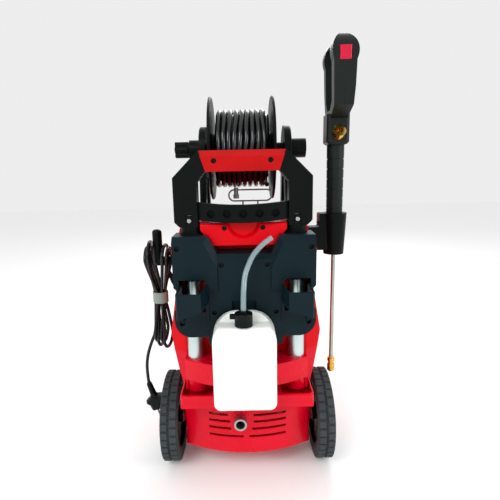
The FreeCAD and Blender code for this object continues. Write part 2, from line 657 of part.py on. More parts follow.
def reel_support(side):
    """Upright plate that carries one end of the reel's shaft in its hub."""
    plate_x = LEFT_SUPPORT_X if side < 0 else RIGHT_SUPPORT_X
    hub_end = LEFT_HUB_X if side < 0 else RIGHT_HUB_X
    foot = 60.0
    reach = REEL_Z - BODY_TOP
    plate = prism("x", *plate_x, [
        (REEL_Y - foot, BODY_TOP), (REEL_Y - SUPPORT_HEAD_R + 2, REEL_Z - 12),
        ((REEL_Y, REEL_Z + SUPPORT_HEAD_R), (REEL_Y + SUPPORT_HEAD_R - 2, REEL_Z - 12)),
        (REEL_Y + foot, BODY_TOP)])
    window = prism("x", *plate_x, [
        (REEL_Y - foot + 22, BODY_TOP + 14), (REEL_Y - 18, REEL_Z - reach * 0.42),
        (REEL_Y + 18, REEL_Z - reach * 0.42), (REEL_Y + foot - 22, BODY_TOP + 14)])
    plate = plate.cut(rounded(window, 5, lambda edge: runs_along(edge, "x")))
    outer_x = plate_x[0] if side < 0 else plate_x[1]
    plate = rounded(plate, 4, lambda edge: lies_at(edge, "X", outer_x) and edge.BoundBox.ZMax > BODY_TOP + 40
                    and edge.BoundBox.ZMax - edge.BoundBox.ZMin > 20 and abs(edge.CenterOfMass.y - REEL_Y) > 30
                    or lies_at(edge, "X", outer_x) and edge.BoundBox.ZMax > REEL_Z + 10)
    hub = rod("x", REEL_AT, REEL_HUB_R, *sorted_pair(outer_x, hub_end))
    if side < 0:
        bore = rod("x", REEL_AT, STUB_R + FIT, hub_end + 9,
                   0).fuse(rod("x", REEL_AT, 8 + FIT, hub_end - 1, hub_end + 6))
    else:
        bore = rod("x", REEL_AT, STUB_R + FIT, 0, hub_end + 1)
    return plate.fuse(hub).cut(bore)


def reel_drum():
    inner_face = FLANGE_X
    drum = rod("x", REEL_AT, DRUM_R, -inner_face, inner_face)
    left = rod("x", REEL_AT, STUB_R, LEFT_HUB_X + 9.5, -inner_face)
    right = rod("x", REEL_AT, STUB_R, inner_face, CRANK_X[0])
    return fused([drum, left, right])


def reel_flange(side):
    """Spoked disc with a thick rim."""
    inner, outer = FLANGE_X, FLANGE_X + FLANGE_WIDTH
    disc = revolved("x", REEL_AT, [(STUB_R, inner), (FLANGE_R - 2, inner), (FLANGE_R, inner + 2),
                                   (FLANGE_R, outer - 1), (FLANGE_R - 1, outer), (STUB_R, outer)])
    hollow = ring("x", REEL_AT, FLANGE_R - 7, DRUM_R + 8, outer - 2.5, outer + 1)
    spoke = box((outer - 3.5, outer), (-3, 3), (DRUM_R + 4, FLANGE_R - 4))
    spokes = []
    for index in range(8):
        turned = spoke.copy()
        turned.rotate(vec(0, 0, 0), vec(1, 0, 0), 45 * index + 22.5)
        spokes.append(turned.translated(vec(0, REEL_Y, REEL_Z)))
    return sided(disc.cut(hollow).multiFuse(spokes).removeSplitter(), side)


def hose_coil():
    return ring("x", REEL_AT, COIL_R, DRUM_R, -FLANGE_X + 1, FLANGE_X - 1)


def hose_end():
    """Crimped fitting on the free end of the hose, tucked under the coil."""
    low = REEL_Z - FLANGE_R + 1
    at = (-14.0, REEL_Y)
    stem = rod("z", at, 4.6, low + 8, REEL_Z - COIL_R + 0.3)
    nut = rod("z", at, 6.2, low, low + 9)
    return fused([stem, nut]).cut(hose_coil())


def crank_arm():
    x0, x1 = CRANK_X
    end_y = REEL_Y + CRANK_LENGTH
    boss = rod("x", REEL_AT, REEL_HUB_R, x0, x1)
    arm = box((x0, x1), (REEL_Y, end_y), (REEL_Z - 9, REEL_Z + 9))
    arm = arm.fuse(rod("x", (end_y, REEL_Z), 9, x0, x1))
    slot = box((x0 - 1, x1 + 1), (REEL_Y + REEL_HUB_R + 4, end_y + 20),
               (REEL_Z - 5.5 - GAP, REEL_Z + 5.5 + GAP))
    pin = rod("z", ((x0 + x1) / 2, end_y), 2, REEL_Z - 8, REEL_Z + 8)
    return boss.fuse(arm).cut(slot).fuse(pin)


def crank_knob():
    """Folding crank handle, folded back into the arm."""
    middle = sum(CRANK_X) / 2
    end_y = REEL_Y + CRANK_LENGTH
    grip = rod("y", (middle, REEL_Z), 4.6, end_y - 28, end_y - 4)
    eye = rod("z", (middle, end_y), 5, REEL_Z - 5.5, REEL_Z + 5.5)
    return grip.fuse(eye).cut(rod("z", (middle, end_y), 2 + FIT, REEL_Z - 10, REEL_Z + 10))


def reel_lock_knob():
    """Lobed knob that screws into the left hub and brakes the reel."""
    inner, outer = LEFT_HUB_X - 2, LEFT_HUB_X - 29
    lobes = [rod("x", (REEL_Y + 12 * math.cos(turn), REEL_Z + 12 * math.sin(turn)), KNOB_R - 12, outer, inner)
             for turn in (math.tau * index / 6 for index in range(6))]
    body = rod("x", REEL_AT, KNOB_R - 4, outer, inner)
    stem = rod("x", REEL_AT, 8, inner, LEFT_HUB_X + 5)
    return fused([body, stem] + lobes)


def hose_guide():
    """Wire loop in front of the reel that leads the hose off."""
    left, right, low, high, y = -32.0, 66.0, REEL_Z - 111, REEL_Z - 86, REEL_Y + 73
    bend = (high - low) / 2
    middle_z = (low + high) / 2
    loop = Part.Wire([
        Part.LineSegment(vec(left + bend, y, low), vec(right - bend, y, low)).toShape(),
        Part.Arc(vec(right - bend, y, low), vec(right, y, middle_z), vec(right - bend, y, high)).toShape(),
        Part.LineSegment(vec(right - bend, y, high), vec(left + bend, y, high)).toShape(),
        Part.Arc(vec(left + bend, y, high), vec(left, y, middle_z), vec(left + bend, y, low)).toShape()])
    section = Part.Wire(Part.Circle(vec(left + bend, y, low), vec(1, 0, 0), GUIDE_R).toShape())
    wire = loop.makePipeShell([section], True, False)
    legs = [rod("z", (x, y), GUIDE_R, BODY_TOP, low) for x in (0.0, 34.0)]
    return fused([wire] + legs)


# --- Wheels ---------------------------------------------------------------------------------
WHEEL_AT = (0.0, WHEEL_R)


def wheel(side):
    inner, outer = wheel_span()
    rim_r = WHEEL_R - TYRE_DEPTH
    body = revolved("x", WHEEL_AT, [
        (AXLE_R + FIT, inner), (HUB_R, inner), (HUB_R, inner + 8), (rim_r - 5, inner + 8),
        (rim_r - 5, inner + 1),
        (rim_r, inner + 1), (rim_r, outer - 1), (rim_r - 5, outer - 1), (rim_r - 5, outer - 10),
        (HUB_R, outer - 10),
        (HUB_R, outer - 2), (AXLE_R + FIT, outer - 2)])
    holes = []
    for index in range(5):
        turn = math.tau * index / 5
        middle = (41 * math.cos(turn), WHEEL_R + 41 * math.sin(turn))
        holes.append(rod("x", middle, 11, inner, outer))
    return sided(body.cut(Part.makeCompound(holes)), side)


def tyre(side):
    inner, outer = wheel_span()
    rim_r = WHEEL_R - TYRE_DEPTH
    return sided(revolved("x", WHEEL_AT, [
        (rim_r, inner + 1), (rim_r + 4, inner), (WHEEL_R - 5, inner), (WHEEL_R, inner + 4),
        (WHEEL_R, outer - 4),
        (WHEEL_R - 5, outer), (rim_r + 4, outer), (rim_r, outer - 1)]), side)


def axle():
    _, outer = wheel_span()
    return rod("x", WHEEL_AT, AXLE_R, -outer, outer)


def axle_clips():
    """Push-on caps that keep the wheels on the axle."""
    _, outer = wheel_span()
    clip = rod("x", WHEEL_AT, CLIP_R, outer - 2 + GAP, outer + CLIP_WIDTH).cut(
        rod("x", WHEEL_AT, AXLE_R, outer - 5, outer))
    clip = rounded(clip, 0.7, lambda edge: lies_at(edge, "X", outer + CLIP_WIDTH))
    return Part.makeCompound([clip, mirrored(clip)])


def front_foot():
    half, depth = FOOT_WIDTH / 2, FOOT_DEPTH / 2
    foot = prism("y", WHEELBASE - depth, WHEELBASE + depth, both_sides([
        (half - 16, BASE_Z), (half, 6), (half, 0)]))
    return rounded(foot, 3, lambda edge: runs_along(edge, "x") and lies_at(edge, "Z", 0))


# --- Motor, pump, inlet and switch ----------------------------------------------------------
def pump():
    block = box((INLET_X - 45, INLET_X + 45), (PUMP_BACK, PUMP_BACK + 115), (BASE_Z + WALL + 14, DECK_Z + 5))
    feet = [rod("z", (INLET_X + x, y), 9, BASE_Z + WALL, BASE_Z + WALL + 14) for x in (-30, 30)
            for y in (PUMP_BACK + 18, PUMP_BACK + 97)]
    return fused([block] + feet)


def motor():
    top = LEDGE_Z + 105
    body = rod("z", (INLET_X, MOTOR_Y), MOTOR_R, DECK_Z + 5, top)
    return body.fuse(rod("z", (INLET_X, MOTOR_Y), MOTOR_R - 14, top, top + 16))


def water_inlet():
    """Pipe from the pump through the rear hull, for the garden hose."""
    at = (INLET_X, INLET_Z)
    nipple = rod("y", at, INLET_R, INLET_END, HULL_BACK - 1.5)
    pipe = rod("y", at, INLET_R - 0.5, HULL_BACK - 1.5, PUMP_BACK)
    return nipple.fuse(pipe).cut(rod("y", at, INLET_BORE, INLET_END - 1, PUMP_BACK + 1))


def switch_box():
    depth = BODY_FRONT - WALL
    body = box((-28, 28), (depth - 42, depth - 1), (SWITCH_Z - 34, SWITCH_Z + 34))
    pads = [box(sorted_pair(side * 20, side * 26), (depth - 1, depth), (SWITCH_Z - 10, SWITCH_Z + 10))
            for side in TUBE_SIDES]
    return fused([body] + pads).cut(rod("y", (0, SWITCH_Z), SWITCH_SHAFT_R + FIT, depth - 20,
                                        depth + 10)).cut(
        box((-200, 200), (0, 400), (0, 600)).cut(casing(WALL)))


def power_switch():
    """Rotary on-off knob on the front."""
    face = BODY_FRONT + 1
    knob = rod("y", (0, SWITCH_Z), SWITCH_R, face, face + 8)
    bar = box((-4.5, 4.5), (face + 8, face + 18), (SWITCH_Z - SWITCH_R + 2, SWITCH_Z + SWITCH_R - 2))
    bar = rounded(bar, 3, lambda edge: lies_at(edge, "Y", face + 18))
    shaft = rod("y", (0, SWITCH_Z), SWITCH_SHAFT_R, BODY_FRONT - WALL - 19, face)
    return fused([knob, bar, shaft])


# --- Bottle ---------------------------------------------------------------------------------
def bottle_body(inset):
    """Jug with big shoulders; its top falls away towards the back of the machine's user."""
    half, low, high = BOTTLE_WIDTH / 2 - inset, BOTTLE_Z + GAP + inset, BOTTLE_Z + BOTTLE_HEIGHT - inset
    back, front = BOTTLE_BACK - inset, BOTTLE_BACK - BOTTLE_DEPTH + inset
    shoulder, foot, cut = 40.0, 12.0, math.sqrt(0.5)
    body = prism("y", front, back, [
        (-half, low + foot), ((-half + foot * (1 - cut), low + foot * (1 - cut)), (-half + foot, low)),
        (half - foot, low), ((half - foot * (1 - cut), low + foot * (1 - cut)), (half, low + foot)),
        (half, high - shoulder), ((half - shoulder * (1 - cut), high - shoulder * (1 - cut)),
                                  (half - shoulder, high)),
        (-half + shoulder, high),
        ((-half + shoulder * (1 - cut), high - shoulder * (1 - cut)), (-half, high - shoulder))])
    slope = prism("x", -half - 1, half + 1, [
        (front - 1, high - 13), (CAP_Y - CAP_R + 2, high - 13), (CAP_Y + CAP_R + 3, high - 13),
        (back - 14, high + 1),
        (front - 1, high + 1)])
    body = rounded(body.cut(slope), 9 - inset, lambda edge: lies_at(edge, "Y", front)
                   or lies_at(edge, "Y", back))
    return body.translated(vec(BOTTLE_X, 0, 0))


def bottle():
    at = (CAP_X, CAP_Y)
    rim = BOTTLE_Z + BOTTLE_HEIGHT
    neck = rod("z", at, NECK_R, rim - 16, rim)
    body = bottle_body(0).fuse(neck).cut(bottle_body(BOTTLE_WALL))
    return body.cut(rod("z", at, NECK_R - 1.6, rim - 20, rim + 1)).removeSplitter()


def bottle_cap():
    at = (CAP_X, CAP_Y)
    low = BOTTLE_Z + BOTTLE_HEIGHT - 12
    cap = rod("z", at, CAP_R, low, low + CAP_HEIGHT - 4)
    cap = rounded(cap, 2, lambda edge: lies_at(edge, "Z", low + CAP_HEIGHT - 4))
    stub = rod("z", at, SUCTION_R + 2.5, low, low + CAP_HEIGHT)
    lever = box((CAP_X - 23, CAP_X), (CAP_Y - 4, CAP_Y + 4), (low + 12, low + 19))
    lever = rounded(lever, 2, lambda edge: runs_along(edge, "z") and edge.BoundBox.XMax < CAP_X - 1)
    notches = [rod("z", (CAP_X + (CAP_R + 0.6) * math.cos(turn), CAP_Y + (CAP_R + 0.6) * math.sin(turn)), 1.2,
                   low - 1, low + 11) for turn in (math.tau * index / 20 for index in range(20))]
    cap = fused([cap, stub, lever]).cut(Part.makeCompound(notches))
    cap = cap.cut(rod("z", at, NECK_R + FIT, low - 1, low + 12 + GAP))
    return cap.cut(rod("z", at, SUCTION_R + FIT, low, low + CAP_HEIGHT + 1))


SUCTION_POINTS = [(0, 0, 0), (0, 0, 40), (3, 17, 77), (17, 33, 105), (33, 43, 121), (51, 48, 133)]


def suction_tube():
    """Clear dosing tube out of the cap, bent up beside the rear cover."""
    foot = vec(CAP_X, CAP_Y, BOTTLE_Z + BOTTLE_HEIGHT - 7)
    return cord_tube([foot + vec(*point) for point in SUCTION_POINTS], SUCTION_R)


# --- Gun ------------------------------------------------------------------------------------
TRIGGER_PIVOT = (-30.0, GUN_TOP - 121)


def gun_solid():
    """Both gun shells as one solid: a D-shaped grip and guard above the valve body."""
    top = GUN_TOP
    loop = prism("x", GUN_X - 30, GUN_X + 30, [
        (-22, top - 141), (-57, top - 122), (-61, top - 95), (-62, top - 50), ((-52, top - 13), (-26, top)),
        (-8, top), ((16, top - 10), (24, top - 36)), (23, top - 100), (20, top - 141)])
    window = prism("x", GUN_X - 31, GUN_X + 31, [
        (-22, top - 126), (-40, top - 113), (-42, top - 90), (-42, top - 46),
        ((-37, top - 30), (-24, top - 22)),
        (-8, top - 22), ((4, top - 27), (9, top - 38)), (9, top - 112), (0, top - 126)])
    front_view = prism("y", -70, 30, [
        (GUN_X - 15, top - 142), (GUN_X - 17, top - 121), (GUN_X - 18.5, top - 90), (GUN_X - 19.5, top - 50),
        ((GUN_X - 15.5, top - 13), (GUN_X, top)), ((GUN_X + 15.5, top - 13), (GUN_X + 19.5, top - 50)),
        (GUN_X + 18.5, top - 90), (GUN_X + 17, top - 121),
        (GUN_X + 15, top - 142)])
    grip = loop.cut(window)
    grip = rounded(grip, 4, lambda edge: not runs_along(edge, "x") and edge.BoundBox.XLength < 0.01
                   and edge.BoundBox.YMax < 30)
    body = box((GUN_X - 21, GUN_X + 21), (-24, 21), (GUN_BODY_Z, top - 132))
    body = rounded(body, 8, lambda edge: runs_along(edge, "z"))
    body = bevelled(body, 4, lambda edge: lies_at(edge, "Z", GUN_BODY_Z))
    return grip.common(front_view).fuse(body).removeSplitter()


def inlet_rod(radius, start, end):
    """Cylinder along the gun inlet's axis, which leans up and back."""
    lean = math.radians(35)
    direction = vec(0, -math.cos(lean), math.sin(lean))
    foot = vec(GUN_X, -8, GUN_BODY_Z + 10)
    return Part.makeCylinder(radius, end - start, foot + direction * start, direction)


def gun_shell(side):
    solid = gun_solid()
    half = box(sorted_pair(GUN_X, GUN_X + side * 60), (-100, 100), (GUN_BODY_Z - 50, GUN_TOP + 10))
    y, z = TRIGGER_PIVOT
    slot = prism("x", GUN_X - 6 - GAP, GUN_X + 6 + GAP, [
        (y - 12, z - 4), (y - 4, z - 12), (y + 14, z - 12), (y + 22, z + 2), (y + 22, z + 16),
        (y - 12, z + 16)])
    button_room = box((GUN_X - 10.4, GUN_X + 10.4), (-70, -49), (GUN_TOP - 51.4, GUN_TOP - 27.6))
    shell = solid.common(half).cut(slot).cut(button_room).cut(inlet_rod(11.5, 0, 60))
    pin = rod("x", TRIGGER_PIVOT, 2, *sorted_pair(GUN_X, GUN_X + side * 10))
    return shell.fuse(pin)


def gun_trigger():
    y, z = TRIGGER_PIVOT
    lever = prism("x", GUN_X - 6, GUN_X + 6, [
        (y - 5, z + 4), (y + 6, z + 2), (y + 20, z + 76), (y + 18, z + 84), (y + 10, z + 80)])
    lever = rounded(lever, 2, lambda edge: runs_along(edge, "x") and edge.BoundBox.ZMin > z + 20)
    boss = rod("x", TRIGGER_PIVOT, 6.5, GUN_X - 6, GUN_X + 6)
    return lever.fuse(boss).cut(rod("x", TRIGGER_PIVOT, 2 + FIT, GUN_X - 10, GUN_X + 10))


def gun_lock_button():
    button = box((GUN_X - 10, GUN_X + 10), (-63, -53), (GUN_TOP - 51, GUN_TOP - 28))
    return rounded(button, 2, lambda edge: lies_at(edge, "Y", -63))


def gun_inlet():
    """Brass socket for the high-pressure hose."""
    flange = inlet_rod(12.5, 17, 24).cut(gun_solid())
    return flange.fuse(inlet_rod(11.5, 0, 24)).cut(inlet_rod(6.5, 6, 30))


def barrel_sleeve():
    at = (GUN_X, 0)
    sleeve = Part.makeCone(SLEEVE_END_R, SLEEVE_R, GUN_BODY_Z - SLEEVE_END, vec(*at, SLEEVE_END))
    grooves = [ring("z", at, SLEEVE_R + 2, 14.6, z - 0.8, z + 0.8)
               for z in (GUN_BODY_Z - 26 - 18.4 * index for index in range(6))]
    sleeve = sleeve.cut(Part.makeCompound(grooves))
    return sleeve.cut(rod("z", at, LANCE_R, SLEEVE_END - 1, SLEEVE_END + 20))


def lance_tube():
    return ring("z", (GUN_X, 0), LANCE_R, LANCE_R - 1.5, COUPLER_TOP - 6, SLEEVE_END + 20)


def lance_coupler():
    at = (GUN_X, 0)
    body = rod("z", at, COUPLER_R - 1.7, COUPLER_END, COUPLER_TOP).fuse(
        rod("z", at, COUPLER_R, COUPLER_TOP - 8, COUPLER_TOP - 1))
    return body.cut(rod("z", at, LANCE_R, COUPLER_TOP - 6, COUPLER_TOP + 1)).cut(
        rod("z", at, COUPLER_BORE, COUPLER_END - 1, COUPLER_END + 15))


def coupler_collar():
    at = (GUN_X, 0)
    collar_ring = ring("z", at, COUPLER_R, COUPLER_R - 1.7 + FIT, COUPLER_END + 2, COUPLER_END + 16)
    return collar_ring.cut(ring("z", at, COUPLER_R + 1, COUPLER_R - 0.6, COUPLER_END + 8, COUPLER_END + 10))


def holster():
    """Tapered socket on the casing's side that carries the gun."""
    at = (GUN_X, 0)
    cone = Part.makeCone(HOLSTER_END_R, HOLSTER_R, HOLSTER_TOP - HOLSTER_LOW, vec(*at, HOLSTER_LOW))
    lower = box((BODY_HALF, GUN_X), (-14, 14), (HOLSTER_LOW + 9, HOLSTER_TOP - 26))
    upper = box((GUN_X - 31, GUN_X), (-14, 14), (HOLSTER_TOP - 30, HOLSTER_TOP))
    tab = prism("y", -13, -7, [(GUN_X - 36, HOLSTER_TOP - 17), (GUN_X - 29, HOLSTER_TOP - 27),
                               (GUN_X - 29, HOLSTER_TOP - 19), (GUN_X - 33, HOLSTER_TOP - 13)])
    bracket = rounded(lower.fuse(upper).removeSplitter(), 3, lambda edge: runs_along(edge, "y"))
    socket = bracket.multiFuse([cone, tab]).cut(rod("z", at, HOLSTER_BORE, SLEEVE_END - GAP, HOLSTER_TOP + 1))
    return socket.cut(rod("z", at, COUPLER_R + 1.5, HOLSTER_LOW - 1, HOLSTER_TOP)).cut(casing(0))


# --- Cord -----------------------------------------------------------------------------------
def cord_tube(points, radius):
    """Tube along a route: straight runs joined by arcs as large as the runs allow."""
    points = [vec(*point) for point in points]
    edges, here = [], points[0]
    for before, corner, after in zip(points, points[1:], points[2:]):
        back, ahead = (before - corner), (after - corner)
        half_turn = (math.pi - back.getAngle(ahead)) / 2
        shorter = min(back.Length, ahead.Length)
        bend = 0.45 * shorter / math.tan(half_turn)
        print(f"cord bend radius {bend:.0f} mm")
        back.normalize()
        ahead.normalize()
        reach = 0.45 * shorter
        first, last = corner + back * reach, corner + ahead * reach
        inward = (back + ahead)
        inward.normalize()
        middle = corner + inward * (bend / math.cos(half_turn) - bend)
        edges.append(Part.LineSegment(here, first).toShape())
        edges.append(Part.Arc(first, middle, last).toShape())
        here = last
    edges.append(Part.LineSegment(here, points[-1]).toShape())
    path = Part.Wire(edges)
    section = Part.Wire(Part.Circle(points[0], points[1] - points[0], radius).toShape())
    tube = path.makePipeShell([section], True, False)
    ideal = math.pi * radius ** 2 * path.Length
    print(f"tube {path.Length:.0f} mm long, volume / ideal = {tube.Volume / ideal:.3f}")
    return tube


def cord_hook():
    prong = rod("z", (HOOK_X, 0), HOOK_R, HOOK_ARM_Z, HOOK_TOP)
    prong = rounded(prong, HOOK_R * 0.7, lambda edge: lies_at(edge, "Z", HOOK_TOP))
    arm = rod("x", (0, HOOK_ARM_Z), HOOK_R, HOOK_X, -BODY_HALF + 6)
    elbow = Part.makeSphere(HOOK_R, vec(HOOK_X, 0, HOOK_ARM_Z))
    return fused([prong, arm, elbow]).cut(casing(0))


def gland_rod(radius, start, end):
    """Cylinder along the gland's axis, out of the left flank and up."""
    direction = vec(*LEAD_POINTS[1]) - vec(*LEAD_POINTS[0])
    direction.normalize()
    return Part.makeCylinder(radius, end - start, vec(*LEAD_POINTS[0]) + direction * start, direction)


def cord_gland():
    return gland_rod(CORD_R + 3, -20, 0).cut(casing(WALL))


def ellipse_wire(x, y, z, half_x, half_y):
    wide, narrow = max(half_x, half_y), min(half_x, half_y)
    ellipse = Part.Ellipse(vec(0, 0, 0), wide, narrow)
    wire = Part.Wire(ellipse.toShape())
    if half_y > half_x:
        wire.rotate(vec(0, 0, 0), vec(0, 0, 1), 90)
    return wire.translated(vec(x, y, z))


def cord_hank():
    """Outer shape of the folded cord: it hangs round the hook, with a waist under its tie."""
    low, high = TIE_Z
    levels = [(HOOK_X - 1, 0, HOOK_TOP - 21, 13, 12), (HOOK_X, 0, HOOK_TOP - 36, 20, 17),
              (HOOK_X, 0, 400, 20, 17),
              (HOOK_X, 0, high, 14, 13), (HOOK_X, 0, low, 14, 13), (HOOK_X + 1, 0, 300, 18, 15),
              (HOOK_X + 1, 0, 264, 17, 14), (HOOK_X + 1, 0, 247, 10, 9)]
    spans = [Part.makeLoft([ellipse_wire(*upper), ellipse_wire(*lower)], True, True)
             for upper, lower in zip(levels, levels[1:])]
    side_loop = Part.makeLoft([ellipse_wire(HOOK_X + 6, 12, 335, 7, 6),
                               ellipse_wire(HOOK_X + 12, 18, 300, 8, 9),
                               ellipse_wire(HOOK_X + 12, 18, 262, 7, 8)], True, True)
    hook_room = fused([rod("z", (HOOK_X, 0), HOOK_R + 0.6, HOOK_ARM_Z, HOOK_TOP + 5),
                       rod("x", (0, HOOK_ARM_Z), HOOK_R + 0.6, HOOK_X, -BODY_HALF),
                       Part.makeSphere(HOOK_R + 0.6, vec(HOOK_X, 0, HOOK_ARM_Z))])
    return fused(spans + [side_loop]).cut(hook_room)


def hank_tie():
    low, high = TIE_Z
    outer = Part.makeLoft([ellipse_wire(HOOK_X, 0, low, 15.2, 14.2),
                           ellipse_wire(HOOK_X, 0, high, 15.2, 14.2)], True)
    inner = Part.makeLoft([ellipse_wire(HOOK_X, 0, low, 14, 13), ellipse_wire(HOOK_X, 0, high, 14, 13)], True)
    return outer.cut(inner)


def cord_tail():
    return cord_tube(TAIL_POINTS, CORD_R)


def plug():
    """Mains plug that hangs from the tail: strain relief, flared body and pin face."""
    outline = [(0, 0), (4.6, 0), (5.6, 3), (6.6, 26), (9, 31), (19, 36), (20, 40), (15.5, 46), (14.5, 58),
               (0, 58)]
    face = Part.Face(Part.makePolygon([vec(radius, 0, -along) for radius, along in outline + outline[:1]]))
    body = face.revolve(vec(0, 0, 0), vec(0, 0, 1), 360)
    flats = [box((-30, 30), sorted_pair(side * 13, side * 30), (-60, -30)) for side in (-1, 1)]
    body = body.cut(fused(flats))
    body.rotate(vec(0, 0, 0), vec(0, 1, 0), math.degrees(math.atan2(-PLUG_LEAN[0], -PLUG_LEAN[2])))
    return body.translated(vec(*TAIL_POINTS[-1]))


# --- Output ---------------------------------------------------------------------------------
def write(name, shape):
    if not shape.isValid():
        raise ValueError(f"{name} is not a valid shape")
    shape = shape.translated(vec(0, -WHEELBASE, 0))
    shape.exportStep(f"parts/{name}.step")
    print(f"{name:18} {len(shape.Solids):3} solids {shape.Volume / 1000:9.1f} cm3")


def build():
    pieces = {
        "base_shell": base_shell, "front_shell": front_shell, "rear_cover": rear_cover,
        "housing_screws": housing_screws, "rear_tray": rear_tray, "rear_panel": rear_panel,
        "handle_frame": handle_frame, "grip_cover": grip_cover, "grip_screws": grip_screws,
        "reel_drum": reel_drum, "hose_coil": hose_coil, "hose_end": hose_end, "crank_arm": crank_arm,
        "crank_knob": crank_knob, "reel_lock_knob": reel_lock_knob, "hose_guide": hose_guide,
        "axle": axle, "axle_clips": axle_clips, "front_foot": front_foot, "pump": pump, "motor": motor,
        "water_inlet": water_inlet, "switch_box": switch_box, "power_switch": power_switch,
        "bottle": bottle, "bottle_cap": bottle_cap, "suction_tube": suction_tube,
        "gun_trigger": gun_trigger, "gun_lock_button": gun_lock_button, "gun_inlet": gun_inlet,
        "barrel_sleeve": barrel_sleeve, "lance_tube": lance_tube, "lance_coupler": lance_coupler,
        "coupler_collar": coupler_collar, "holster": holster, "cord_hook": cord_hook,
        "cord_gland": cord_gland, "cord_hank": cord_hank, "hank_tie": hank_tie, "cord_tail": cord_tail,
        "plug": plug,
    }
    paired = {"outer_tube": outer_tube, "collar": collar, "detent_button": detent_button,
              "inner_tube": inner_tube, "reel_support": reel_support, "reel_flange": reel_flange,
              "wheel": wheel, "tyre": tyre, "gun_shell": gun_shell}
    os.makedirs("parts", exist_ok=True)
    for name, piece in pieces.items():
        write(name, piece())
    write("cord_lead", cord_tube(LEAD_POINTS, CORD_R))
    for name, piece in paired.items():
        for side, word in ((-1, "left"), (1, "right")):
            write(f"{name}_{word}", piece(side))


build()
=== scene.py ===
# %% [markdown]
# # Upright pressure washer
# The machine is a red moulded casing on two wheels, with a black rear panel, a telescopic handle, a hose
# reel, a spray gun in a holster and a detergent bottle. Its hard parts come from the CAD frame and keep
# their shape. This file gives them finishes and adds what CAD left plain: tread, hose turns, the single
# cord in its hank, and small trim.

# %% Load the frame
import math

import bmesh
import bpy
from mathutils import Matrix, Vector


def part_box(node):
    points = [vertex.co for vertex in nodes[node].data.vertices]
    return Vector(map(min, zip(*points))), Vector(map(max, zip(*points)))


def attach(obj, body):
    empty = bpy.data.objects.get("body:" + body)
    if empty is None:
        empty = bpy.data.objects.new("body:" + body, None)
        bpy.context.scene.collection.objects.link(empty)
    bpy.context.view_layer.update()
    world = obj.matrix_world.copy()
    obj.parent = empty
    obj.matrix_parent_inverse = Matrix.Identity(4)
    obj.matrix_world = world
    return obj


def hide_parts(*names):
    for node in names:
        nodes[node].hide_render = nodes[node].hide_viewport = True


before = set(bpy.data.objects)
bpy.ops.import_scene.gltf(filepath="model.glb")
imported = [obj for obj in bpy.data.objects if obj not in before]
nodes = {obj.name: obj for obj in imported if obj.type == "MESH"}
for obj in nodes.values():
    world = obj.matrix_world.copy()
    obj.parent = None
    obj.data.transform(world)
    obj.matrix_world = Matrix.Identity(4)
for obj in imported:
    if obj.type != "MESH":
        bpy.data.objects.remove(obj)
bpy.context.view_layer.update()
MM = 0.001
AXLE_Y = -0.175

# %% [markdown]
# ## Two small helpers
# Every finish is a node tree. One function adds a node with its settings and links, and one turns the
# hex value of a colour into the linear numbers that a shader works with.

# %% Helpers for node trees
def add(tree, kind, settings=None, links=None):
    node = tree.nodes.new(kind)
    for name, value in (settings or {}).items():
        setattr(node, name, value)
    for name, value in (links or {}).items():
        if isinstance(value, bpy.types.NodeSocket):
            tree.links.new(value, node.inputs[name])
        else:
            node.inputs[name].default_value = value
    return node


def linear(hex_value):
    parts = [int(hex_value[i:i + 2], 16) / 255 for i in (1, 3, 5)]
    return tuple(p / 12.92 if p <= 0.04045 else ((p + 0.055) / 1.055) ** 2.4 for p in parts) + (1.0,)


def new_material(name):
    made = bpy.data.materials.new(name)
    made.use_nodes = True
    tree = made.node_tree
    return made, tree, tree.nodes["Principled BSDF"], add(tree, "ShaderNodeTexCoord").outputs["Object"]

# %% [markdown]
# ## Moulded plastic
# ABS and polypropylene housings come out of a mould with a spark-eroded grain, so a highlight breaks up
# into soft speckle. Pigment is never fully even either. One function builds that: two noises, one for
# the grain as a bump and one, a few centimetres wide, for the drift of colour and gloss.

# %% Moulded plastic finishes
def moulded(name, colour, deeper, roughness, grain_mm, height, sheen=0.5):
    made, tree, shader, place = new_material(name)
    grain = add(tree, "ShaderNodeTexNoise", links={"Vector": place, "Scale": 1 / (grain_mm * MM),
                                                   "Detail": 3.0})
    drift = add(tree, "ShaderNodeTexNoise", links={"Vector": place, "Scale": 22.0, "Detail": 4.0})
    tint = add(tree, "ShaderNodeMix", {"data_type": "RGBA"}, {"Factor": drift.outputs["Fac"]})
    tint.inputs["A"].default_value = linear(deeper)
    tint.inputs["B"].default_value = linear(colour)
    gloss = add(tree, "ShaderNodeMapRange", links={"Value": drift.outputs["Fac"], "To Min": roughness - 0.06,
                                                   "To Max": roughness + 0.06})
    bump = add(tree, "ShaderNodeBump", links={"Height": grain.outputs["Fac"], "Strength": height,
                                              "Distance": 0.0004})
    tree.links.new(tint.outputs["Result"], shader.inputs["Base Color"])
    tree.links.new(gloss.outputs["Result"], shader.inputs["Roughness"])
    tree.links.new(bump.outputs["Normal"], shader.inputs["Normal"])
    shader.inputs["IOR"].default_value = 1.5
    shader.inputs["Specular IOR Level"].default_value = sheen
    return made


